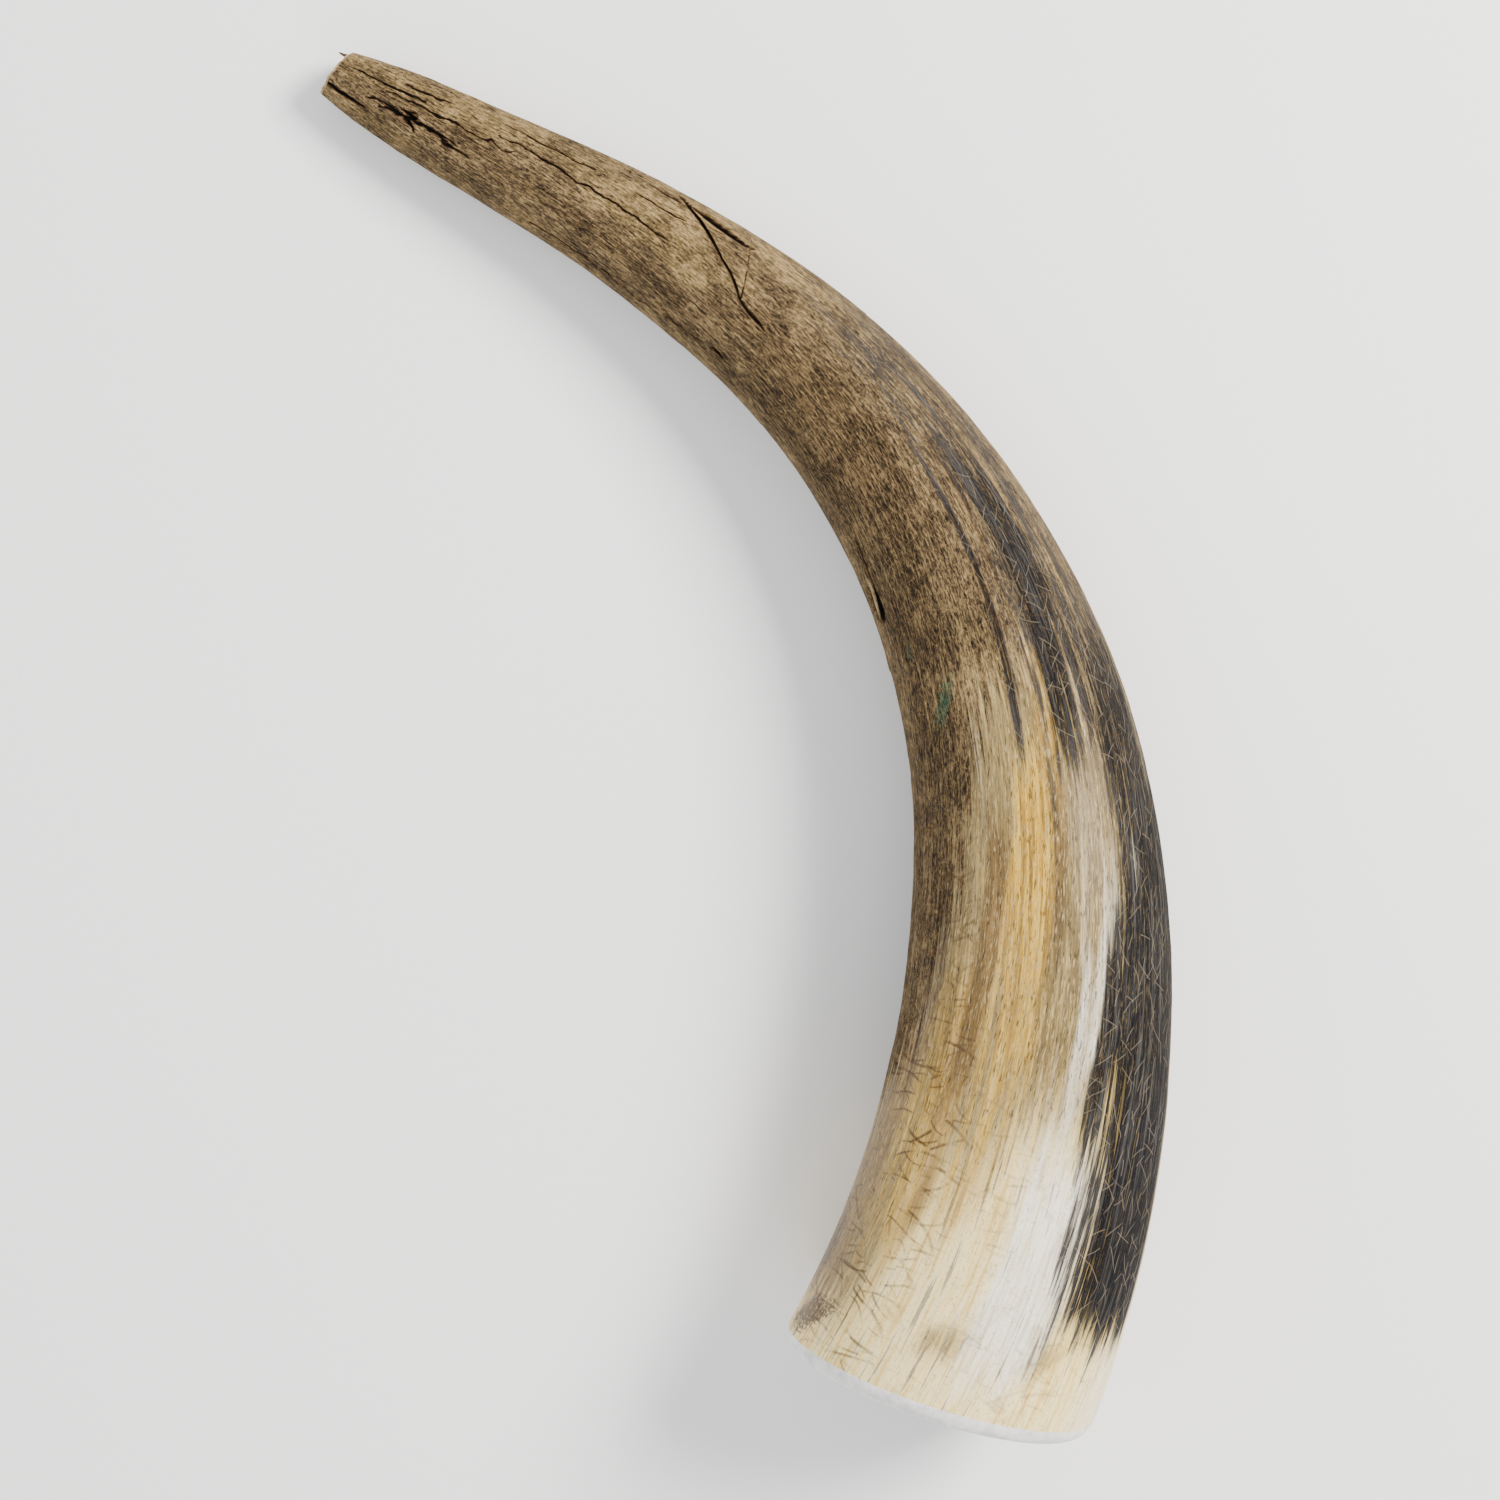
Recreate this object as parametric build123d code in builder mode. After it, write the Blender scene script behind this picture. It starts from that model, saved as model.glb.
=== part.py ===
from build123d import *
import os
from math import cos, degrees, exp, hypot, pi, radians, sin

# A shofar: one natural horn, opened at both ends, lying on its side.
# A horn is a stack of keratin cones.  Each younger cone grew inside the older
# one and comes out past its edge, so the oldest cone is the tip and the
# youngest is the bell.  Everything is placed by its distance along the axis,
# counted from the mouth.

# ---- the horn's outside, in millimetres ----
horn_length = 375.0        # along the axis, from the mouth to the bell
mouth_radius = 5.7         # half the width at the mouth
tip_swell = 2.1            # quick widening just behind the mouth
tip_swell_run = 13.0       # distance in which most of that widening happens
bell_radius = 36.1         # half the width at the bell
belly = 0.7                # fullness at mid length
late_flare = 0.95          # thinner first half, fuller second half
height_ratio = 0.93        # the section is an oval, a little lower than wide

# ---- the axis: a straight run and three tangent bends in one plane ----
tip_run = 54.5             # straight run behind the mouth
bend_1_run = 50.7          # length of the first bend along the axis
bend_1_radius = 303.6
bend_2_run = 138.4
bend_2_radius = 168.0
bend_3_radius = 241.2      # the last bend runs on to the bell
tip_heading = -27.7        # direction of the straight run, degrees from +X
lean_to_bell = -4.05       # the axis plane rises towards the mouth's far end
lean_to_bend = -2.48       # and towards the outside of the bend, degrees

# ---- the air way ----
bore_radius = 3.5          # drilled through the solid tip
bore_depth = 84.0          # where the drill breaks into the natural hollow
mouth_wall = 1.0           # the mouth is opened out until this wall is left
mouthpiece_depth = 6.0
hollow_start = 76.0        # pointed end of the natural hollow
hollow_tip_radius = 2.6
hollow_fullness = 0.1      # how much the hollow bulges past a plain cone
bell_wall = 6.2            # horn wall at the bell

# ---- the growth cones ----
lip_1 = 126.0              # where the tip cone's edge lies on the outside
lip_2 = 197.0
lip_3 = 262.0
tongue_1 = 38.0            # how far each younger cone reaches into the older one
tongue_2 = 57.0
tongue_3 = 50.0
lip_edge = 1.2             # thickness of an older cone's edge
tongue_wall = 2.0          # wall of a younger cone at its upper end

# ---- the two cut ends ----
mouth_slant = -12.0        # the saw cuts aren't quite square, degrees
bell_slant = 8.0
rim_round = 4.0            # ground rounding outside the bell
rim_bevel = 0.8            # and inside it
mouth_room = 4.0           # spare horn past each end before it is cut
bell_room = 10.0

# ---- the V-shaped split on top of the tip, and its loose flake ----
# Its corners are given along the horn and across it, from the split's middle.
split_middle = 93.5
split_angle = 27.0         # degrees round from the top
split_span = 20.0          # length of skin that the split's plane is laid along
split_apex = (-10.5, 5.9)  # the V points at the mouth
split_upper = (5.5, 4.9)
split_lower = (10.5, -7.2)
split_depth = 2.2
crack_gap = 0.35           # open width of a crack

# ---- the splinter beside the mouth ----
splinter_angle = 52.0
splinter_width = 1.8
splinter_root = 5.0        # how far its slot runs into the tip
splinter_reach = 1.1       # how far it stands out past the mouth

# ---- the notch on the inside of the bend, and its sliver ----
notch_middle = 178.0
notch_length = 13.0
notch_width = 3.2
notch_angle = -68.0
notch_depth = 1.8
sliver_width = 1.2
sliver_length = 9.0
sliver_sink = 0.5          # its top lies this far below the horn's surface
skin_room = 12.0           # what cuts into the skin starts this far outside it

# ---- how many sections the lofts pass through ----
tip_sections = 7
body_sections = 14
hollow_sections = 9
tongue_sections = 4


def outside_radius(distance):
    """Half the horn's width: a straight cone, a quick swell and two soft waves."""
    share = distance / horn_length
    swell = tip_swell * (1 - exp(-distance / tip_swell_run))
    cone = (bell_radius - mouth_radius - tip_swell) * share
    waves = belly * sin(pi * share) - late_flare * sin(2 * pi * share)
    return mouth_radius + swell + cone + waves


def hollow_radius(distance):
    """Half the natural hollow's width: a cone that bulges a little."""
    share = (distance - hollow_start) / (horn_length - hollow_start)
    growth = share + hollow_fullness * sin(pi * share)
    return hollow_tip_radius + (bell_radius - bell_wall - hollow_tip_radius) * growth


def spread(first, last, count):
    """Evenly spaced distances, both ends included."""
    return [first + (last - first) * i / (count - 1) for i in range(count)]


# The axis, drawn flat in the plane that leans up towards the bell and the bend.
bend_3_run = horn_length - tip_run - bend_1_run - bend_2_run
lean = Plane.XY.rotated((lean_to_bell, lean_to_bend, 0))
with BuildLine(lean) as axis_line:
    straight = PolarLine((0, 0), tip_run + mouth_room, tip_heading)
    bend_1 = JernArc(straight @ 1, straight % 1, bend_1_radius, -degrees(bend_1_run / bend_1_radius))
    bend_2 = JernArc(bend_1 @ 1, bend_1 % 1, bend_2_radius, -degrees(bend_2_run / bend_2_radius))
    bend_3_angle = degrees((bend_3_run + bell_room) / bend_3_radius)
    bend_3 = JernArc(bend_2 @ 1, bend_2 % 1, bend_3_radius, -bend_3_angle)
axis = axis_line.wires()[0]


def station(distance, turn=0.0):
    """The plane across the axis, its y up, turned by some degrees about that y."""
    place = distance + mouth_room
    point = axis.position_at(place, position_mode=PositionMode.LENGTH)
    forward = axis.tangent_at(place, position_mode=PositionMode.LENGTH)
    forward = forward.rotate(Axis((0, 0, 0), lean.z_dir), turn)
    return Plane(point, x_dir=lean.z_dir.cross(forward), z_dir=forward)


def skin_point(distance, angle):
    """The point on the oval skin at an angle round from the top."""
    square = station(distance)
    outward = square.y_dir.rotate(Axis((0, 0, 0), square.z_dir), -angle)
    across = sin(radians(angle))
    along_height = cos(radians(angle)) / height_ratio
    return square.origin + outward * (outside_radius(distance) / hypot(across, along_height))


def skin_plane(distance, angle, length, depth):
    """The plane lying along a length of the horn's skin, sunk by depth.

    Its x runs along the skin towards the bell and its z points out of the horn.
    """
    behind = skin_point(distance - length / 2, angle)
    ahead = skin_point(distance + length / 2, angle)
    along = (ahead - behind).normalized()
    outward = (behind + ahead) / 2 - station(distance).origin
    outward = (outward - along * outward.dot(along)).normalized()
    return Plane((behind + ahead) / 2 - outward * depth, x_dir=along, z_dir=outward)


def oval_loft(distances, radius_at):
    """A solid with an oval section at each distance along the axis."""
    with BuildPart() as oval:
        for distance in distances:
            with BuildSketch(station(distance)):
                Ellipse(radius_at(distance), radius_at(distance) * height_ratio)
        loft()
    return oval.part


def horn_blank():
    """The whole horn's outside, sawn at both ends, with the bell's rim ground round."""
    tip = spread(-mouth_room, tip_run, tip_sections)
    body = spread(tip_run, horn_length + bell_room, body_sections)
    with BuildPart() as blank:
        add(oval_loft(tip + body[1:], outside_radius))
        split(bisect_by=station(0, mouth_slant), keep=Keep.TOP)
        split(bisect_by=station(horn_length, bell_slant), keep=Keep.BOTTOM)
        rim = blank.faces().filter_by(GeomType.PLANE).sort_by(SortBy.AREA)[-1]
        fillet(rim.edges(), radius=rim_round)
    return blank.part


# The horn is moved so that it rests on the ground, centred over the origin.
unseated = horn_blank().bounding_box()
seat = Vector(-unseated.center().X, -unseated.center().Y, -unseated.min.Z)
axis = axis.moved(Location(seat))
horn = horn_blank()

# The natural hollow, and the whole air way with the drilled bore and the mouthpiece.
hollow = oval_loft(spread(hollow_start, horn_length + bell_room, hollow_sections), hollow_radius)
mouth_point = station(0).origin
bore_line = station(bore_depth).origin - mouth_point
mouthpiece_radius = mouth_radius * height_ratio - mouth_wall
drill = Plane(mouth_point, x_dir=lean.z_dir.cross(bore_line), z_dir=bore_line)
with BuildPart() as air_way:
    with BuildSketch(drill):
        Circle(bore_radius)
    extrude(amount=bore_line.length)
    with BuildSketch(drill.offset(-mouth_room)):
        Circle(mouthpiece_radius)
    extrude(amount=mouth_room)
    with BuildSketch(drill):
        Circle(mouthpiece_radius)
    with BuildSketch(drill.offset(mouthpiece_depth)):
        Circle(bore_radius)
    loft()
    add(hollow)


def tongue(lip, reach):
    """What a younger cone puts inside the older one, before it is hollowed."""

    def tongue_radius(distance):
        """From a thin wall on the hollow to just inside the older cone's edge."""
        share = (distance - lip + reach) / reach
        inner = max(hollow_radius(distance), bore_radius) + tongue_wall
        outer = outside_radius(distance) - lip_edge
        return inner + (outer - inner) * share

    return oval_loft(spread(lip - reach, lip, tongue_sections), tongue_radius)


tongue_in_tip = tongue(lip_1, tongue_1)
tongue_in_bark = tongue(lip_2, tongue_2)
tongue_in_waist = tongue(lip_3, tongue_3)

# The outlines cut into the horn's skin, on planes that lie on the horn.
split_plane = skin_plane(split_middle, split_angle, split_span, split_depth)
splinter_plane = skin_plane(0, splinter_angle, mouth_room, mouth_radius)
notch_plane = skin_plane(notch_middle, notch_angle, notch_length, notch_depth)

with BuildSketch() as split_outline:
    with BuildLine():
        Polyline(split_apex, split_upper, split_lower, close=True)
    make_face()

with BuildPart() as split_pocket:
    with BuildSketch(split_plane):
        add(split_outline.sketch)
    extrude(amount=skin_room)

with BuildPart() as splinter_slot:
    with BuildSketch(splinter_plane):
        with BuildLine():
            Polyline(
                (splinter_root, 0),
                (-mouth_room, splinter_width),
                (-mouth_room, -splinter_width),
                close=True,
            )
        make_face()
    extrude(amount=skin_room)

with BuildPart() as notch:
    with BuildSketch(notch_plane):
        Ellipse(notch_length / 2, notch_width / 2)
    extrude(amount=skin_room)

# ---- 1: the oldest cone, a solid tip with the drilled bore ----
with BuildPart() as tip_cone:
    add(horn)
    split(bisect_by=station(lip_1), keep=Keep.BOTTOM)
    add(tongue_in_tip, mode=Mode.SUBTRACT)
    add(air_way.part, mode=Mode.SUBTRACT)
    add(split_pocket.part, mode=Mode.SUBTRACT)
    add(splinter_slot.part, mode=Mode.SUBTRACT)
tip_cone.part.label = "tip_cone"

# ---- 2: the second cone, with the weathered bark ----
with BuildPart() as bark_cone:
    add(horn)
    split(bisect_by=station(lip_1), keep=Keep.TOP)
    split(bisect_by=station(lip_2), keep=Keep.BOTTOM)
    add(tongue_in_tip)
    add(tongue_in_bark, mode=Mode.SUBTRACT)
    add(air_way.part, mode=Mode.SUBTRACT)
    add(notch.part, mode=Mode.SUBTRACT)
bark_cone.part.label = "bark_cone"

# ---- 3: the third cone, round the tightest part of the bend ----
with BuildPart() as waist_cone:
    add(horn)
    split(bisect_by=station(lip_2), keep=Keep.TOP)
    split(bisect_by=station(lip_3), keep=Keep.BOTTOM)
    add(tongue_in_bark)
    add(tongue_in_waist, mode=Mode.SUBTRACT)
    add(air_way.part, mode=Mode.SUBTRACT)
waist_cone.part.label = "waist_cone"

# ---- 4: the youngest cone, polished, with the ground rim ----
with BuildPart() as bell_cone:
    add(horn)
    split(bisect_by=station(lip_3), keep=Keep.TOP)
    add(tongue_in_waist)
    add(air_way.part, mode=Mode.SUBTRACT)
    rim_face = bell_cone.faces().filter_by(GeomType.PLANE).sort_by(
        Axis(station(horn_length).origin, station(horn_length).z_dir)
    )[-1]
    chamfer(rim_face.inner_wires()[0].edges(), length=rim_bevel)
bell_cone.part.label = "bell_cone"

# ---- 5: the flake that the V-shaped split has freed ----
with BuildPart() as split_flake:
    with BuildSketch(split_plane):
        add(split_outline.sketch)
        offset(amount=-crack_gap, mode=Mode.REPLACE)
    extrude(amount=skin_room)
    add(horn, mode=Mode.INTERSECT)
split_flake.part.label = "split_flake"

# ---- 6: the splinter that stands out beside the mouth, cracked free on one side ----
with BuildPart() as mouth_splinter:
    with BuildSketch(splinter_plane):
        with BuildLine():
            Polyline(
                (splinter_root, 0),
                (-mouth_room, splinter_width - crack_gap),
                (-mouth_room, -splinter_width),
                close=True,
            )
        make_face()
    extrude(amount=skin_room)
    split(bisect_by=station(-splinter_reach, mouth_slant), keep=Keep.TOP)
    add(oval_loft(spread(-mouth_room, tip_run, tip_sections), outside_radius), mode=Mode.INTERSECT)
    add(air_way.part, mode=Mode.SUBTRACT)
mouth_splinter.part.label = "mouth_splinter"

# ---- 7: the sliver left lying in the notch ----
with BuildPart() as notch_sliver:
    with BuildSketch(notch_plane):
        Rectangle(sliver_length, sliver_width)
    extrude(amount=notch_depth - sliver_sink)
notch_sliver.part.label = "notch_sliver"

os.makedirs("parts", exist_ok=True)
export_step(tip_cone.part, "parts/tip_cone.step")
export_step(bark_cone.part, "parts/bark_cone.step")
export_step(waist_cone.part, "parts/waist_cone.step")
export_step(bell_cone.part, "parts/bell_cone.step")
export_step(split_flake.part, "parts/split_flake.step")
export_step(mouth_splinter.part, "parts/mouth_splinter.step")
export_step(notch_sliver.part, "parts/notch_sliver.step")

# Where the mounts lie.
bell_plane = station(horn_length, bell_slant)
print("bore axis out of the mouth", mouth_point, -bore_line.normalized())
print("bell plane", bell_plane.origin, bell_plane.z_dir)
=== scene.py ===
"""A shofar: one natural horn lying on its side, weathered at the tip and polished at the bell.

The horn is a stack of keratin cones that grew one inside another.  Each cone, and each bit of
horn that a split has freed, is one piece here and stands for the CAD node of the same name.
A place on the horn is given by its distance along the axis from the mouth, in millimetres, and
its angle round the horn from the top, in degrees, which grows towards the outside of the bend.
"""

import logging
import math
from dataclasses import dataclass
from enum import Enum, IntEnum
from typing import Any

import bpy
import numpy as np
from mathutils import Matrix, Vector


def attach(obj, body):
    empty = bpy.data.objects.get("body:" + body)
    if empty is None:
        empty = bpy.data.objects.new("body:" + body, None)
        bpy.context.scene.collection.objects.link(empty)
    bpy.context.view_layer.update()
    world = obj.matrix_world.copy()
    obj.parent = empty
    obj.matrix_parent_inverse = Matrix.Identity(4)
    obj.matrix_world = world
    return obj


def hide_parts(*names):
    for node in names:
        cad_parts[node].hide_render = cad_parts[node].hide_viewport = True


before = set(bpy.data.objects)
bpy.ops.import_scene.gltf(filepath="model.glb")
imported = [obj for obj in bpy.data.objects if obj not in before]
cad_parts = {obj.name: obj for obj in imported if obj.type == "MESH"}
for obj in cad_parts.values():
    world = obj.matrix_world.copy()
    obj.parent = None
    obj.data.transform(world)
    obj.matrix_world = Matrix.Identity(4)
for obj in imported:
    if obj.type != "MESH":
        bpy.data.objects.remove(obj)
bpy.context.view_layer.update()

MM = 0.001
SEED = 613
LOG = logging.getLogger("shofar")
SHARP_EDGE = 58.0
Array = np.ndarray
Route = tuple[tuple[float, float], ...]
# What can feed a shader input: an output socket, or a node for its first output.
Wire = bpy.types.Node | bpy.types.NodeSocket


# ---------------------------------------------------------------- noise and small sums


def cell_value(cells: Array, seed: int) -> Array:
    """Gives each whole-number cell a repeatable value from 0 to 1.

    Args:
        cells: Whole numbers, the last axis being x, y, z.
        seed: Picks one of many such patterns.

    Returns:
        One value per cell: the coordinates times three large primes, added, then mixed.
    """
    wrapped = (cells.astype(np.int64) & 0xFFFFFFFF).astype(np.uint64)
    mixed = wrapped[..., 0] * 374761393 + wrapped[..., 1] * 668265263 + wrapped[..., 2] * 2147483629
    mixed = (mixed + np.uint64(seed * 974634777)) & np.uint64(0xFFFFFFFF)
    mixed = ((mixed ^ (mixed >> np.uint64(13))) * np.uint64(1274126177)) & np.uint64(0xFFFFFFFF)
    mixed = ((mixed ^ (mixed >> np.uint64(15))) * np.uint64(2246822519)) & np.uint64(0xFFFFFFFF)
    return (mixed ^ (mixed >> np.uint64(16))).astype(np.float64) / 0xFFFFFFFF


def smooth_noise(points: Array, seed: int) -> Array:
    """Noise from -1 to 1 that changes smoothly over one unit.

    Each point's value is the mix of its eight cell corners' values, weighted by the curve
    3t^2 - 2t^3 of its place in the cell along each axis.
    """
    base = np.floor(points)
    share = points - base
    share = share * share * (3 - 2 * share)
    total = np.zeros(points.shape[:-1])
    for corner in np.ndindex(2, 2, 2):
        step = np.array(corner)
        weight = np.prod(np.where(step == 1, share, 1 - share), axis=-1)
        total += weight * cell_value(base + step, seed)
    return total * 2 - 1


def layered_noise(points: Array, seed: int, layers: int = 3) -> Array:
    """Sum of smooth noises, each twice as fine and half as strong as the one before."""
    total = np.zeros(points.shape[:-1])
    for layer in range(layers):
        total += smooth_noise(points * 2**layer, seed + layer) / 2**layer
    return total / (2 - 2 ** (1 - layers))


def ease(value: Array, low: float, high: float) -> Array:
    """Goes from 0 at low to 1 at high along 3t^2 - 2t^3, and is flat outside them."""
    share = np.clip((value - low) / (high - low), 0, 1)
    return share * share * (3 - 2 * share)


def linear_colour(hex_code: str) -> tuple[float, float, float, float]:
    """Turns an sRGB hex colour into the linear colour that a shader takes."""
    values = (int(hex_code[i : i + 2], 16) / 255 for i in (1, 3, 5))
    red, green, blue = (v / 12.92 if v <= 0.04045 else ((v + 0.055) / 1.055) ** 2.4 for v in values)
    return red, green, blue, 1.0


# ---------------------------------------------------------------- the horn's form


@dataclass(frozen=True)
class HornForm:
    """The horn's axis, outside and hollow, with the same sizes as the CAD model.

    Lengths are millimetres and angles degrees.
    """

    length: float = 375.0
    mouth_radius: float = 5.7
    tip_swell: float = 2.1
    tip_swell_run: float = 13.0
    bell_radius: float = 36.1
    belly: float = 0.7
    late_flare: float = 0.95
    height_ratio: float = 0.93
    bend_starts: tuple[float, ...] = (54.5, 105.2, 243.6)
    bend_radii: tuple[float, ...] = (303.6, 168.0, 241.2)
    tip_heading: float = -27.7
    lean_to_bell: float = -4.05
    lean_to_bend: float = -2.48
    bore_radius: float = 3.5
    bore_depth: float = 84.0
    mouth_wall: float = 1.0
    mouthpiece_depth: float = 6.0
    hollow_start: float = 76.0
    hollow_tip_radius: float = 2.6
    hollow_fullness: float = 0.1
    bell_wall: float = 6.2
    mouth_slant: float = -12.0
    bell_slant: float = 8.0
    rim_round: float = 4.0
    rim_bevel: float = 0.8
    room: float = 12.0
    axis_step: float = 0.1
    grain_step: float = 0.5
    grain_slope: float = 4.0
    mouth_at: tuple[float, float, float] = (-91.9337, 151.048, 6.72632)

    def radius(self, along: Array) -> Array:
        """Half the width: a straight cone, a quick swell behind the mouth and two soft waves."""
        share = along / self.length
        swell = self.tip_swell * (1 - np.exp(-along / self.tip_swell_run))
        cone = (self.bell_radius - self.mouth_radius - self.tip_swell) * share
        waves = self.belly * np.sin(np.pi * share) - self.late_flare * np.sin(2 * np.pi * share)
        return self.mouth_radius + swell + cone + waves

    def hollow(self, along: Array) -> Array:
        """Half the natural hollow's width: a cone that bulges by a half sine wave."""
        share = (along - self.hollow_start) / (self.length - self.hollow_start)
        growth = share + self.hollow_fullness * np.sin(np.pi * share)
        opening = self.bell_radius - self.bell_wall - self.hollow_tip_radius
        return self.hollow_tip_radius + opening * growth

    def lean(self) -> Array:
        """The turn that lays the flat axis into its leaning plane: about X, then about the new Y."""
        a, b = math.radians(self.lean_to_bell), math.radians(self.lean_to_bend)
        about_x = np.array([[1, 0, 0], [0, math.cos(a), -math.sin(a)], [0, math.sin(a), math.cos(a)]])
        about_y = np.array([[math.cos(b), 0, math.sin(b)], [0, 1, 0], [-math.sin(b), 0, math.cos(b)]])
        return about_x @ about_y

    def axis(self, along: Array) -> tuple[Array, Array, Array, Array]:
        """Points on the axis, with the side, up and forward directions there.

        The heading stays level on the straight run and then turns by length over radius on each
        bend; the points are the running sum of the forward direction.
        """
        table = np.arange(-self.room, self.length + self.room, self.axis_step)
        edges = np.array([*self.bend_starts, self.length + self.room])
        turned = np.concatenate([[0], np.cumsum(np.diff(edges) / np.array(self.bend_radii))])
        heading = math.radians(self.tip_heading) - np.interp(table, edges, turned)
        forward = np.stack([np.cos(heading), np.sin(heading), np.zeros_like(heading)], -1) @ self.lean().T
        middle = (forward[1:] + forward[:-1]) / 2 * np.diff(table)[:, None]
        points = np.concatenate([np.zeros((1, 3)), np.cumsum(middle, 0)])
        start = [np.interp(0, table, column) for column in points.T]
        points = points + np.array(self.mouth_at) - np.array(start)
        up = self.lean() @ np.array([0.0, 0.0, 1.0])
        at = [np.interp(along, table, column) for column in points.T]
        ahead = [np.interp(along, table, column) for column in forward.T]
        forward_at = np.stack(ahead, -1)
        up_at = np.broadcast_to(up, forward_at.shape)
        return np.stack(at, -1), np.cross(up, forward_at), up_at, forward_at

    def place(self, along: Array, angle: Array, reach: Array) -> Array:
        """Points in millimetres at an angle and a reach from the axis; the height makes it an oval."""
        point, side, up, _ = self.axis(along)
        turn = np.radians(angle)
        sideways = (reach * np.sin(turn))[..., None] * side
        upwards = (reach * self.height_ratio * np.cos(turn))[..., None] * up
        return point + sideways + upwards

    def cut(self, angle: Array, end: float, slant: float, bend: float) -> Array:
        """Where a slanted saw cut crosses the skin.

        The cut is back from its end by the side reach times the slant; on a bend the skin's own
        steps are longer than the axis's by one plus the side reach over the bend's radius.
        """
        side = self.radius(np.array(end)) * np.sin(np.radians(angle))
        return end - side * math.tan(math.radians(slant)) / (1 + side / bend)

    def mouth_cut(self, angle: Array) -> Array:
        """Distance along the axis at which the mouth's cut crosses the skin."""
        return self.cut(angle, 0.0, self.mouth_slant, math.inf)

    def bell_cut(self, angle: Array) -> Array:
        """Distance along the axis at which the bell's cut crosses the skin."""
        return self.cut(angle, self.length, self.bell_slant, self.bend_radii[-1])

    def grain_angle(self, along: Array, angle: Array) -> Array:
        """The angle at which a fibre passing here started out.

        Fibres cross the axis direction at a small steady slope, so each turns round the horn by
        the slope over the radius; the turns are added up along the horn.
        """
        table = np.arange(-self.room, self.length + self.room, self.grain_step)
        rate = math.degrees(math.tan(math.radians(self.grain_slope))) / self.radius(np.maximum(table, 0))
        turned = np.cumsum(rate) * self.grain_step
        return angle + np.interp(along, table, turned)


# ---------------------------------------------------------------- what is on the skin


@dataclass(frozen=True)
class Crack:
    """A split in the skin along a few chosen places (distance, angle).

    Its cross-section is a V with a rounded foot, and it thins out to both ends. shade is how strongly
    painted shade darkens it, so that it reads dark even where a wall faces the light.
    """

    route: Route
    width: float = 0.5
    depth: float = 0.4
    waver: float = 0.5
    shade: float = 1.0


@dataclass(frozen=True)
class Streak:
    """A band of one pigment that runs along the grain and fades at its edges and ends."""

    start: float
    end: float
    angle_start: float
    angle_end: float
    half_width: float
    strength: float
    end_fade: float = 12.0


class Pigment(Enum):
    """What colours the horn, painted shade and a painted highlight among them; each is a named layer that
    the skin's finish reads.
    """

    BARK = "bark"
    HONEY = "honey"
    # Milky horn, with a painted highlight along the bell's upper side.
    MILK_AND_HIGHLIGHT = "milk_and_highlight"
    SOOT = "soot"
    DIRT = "dirt"
    # Painted shade in the cracks, the split's pocket, the notch and under freed pieces.
    CRACK_SHADE = "crack"
    GREEN = "green"
    SCUFF = "scuff"
    BLEACH = "bleach"
    TAN = "tan"
    # Brown streaks, and painted shade along the inner side of the bend near the bell.
    UMBER_AND_SHADE = "umber_and_shade"
    STAIN = "stain"


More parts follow.
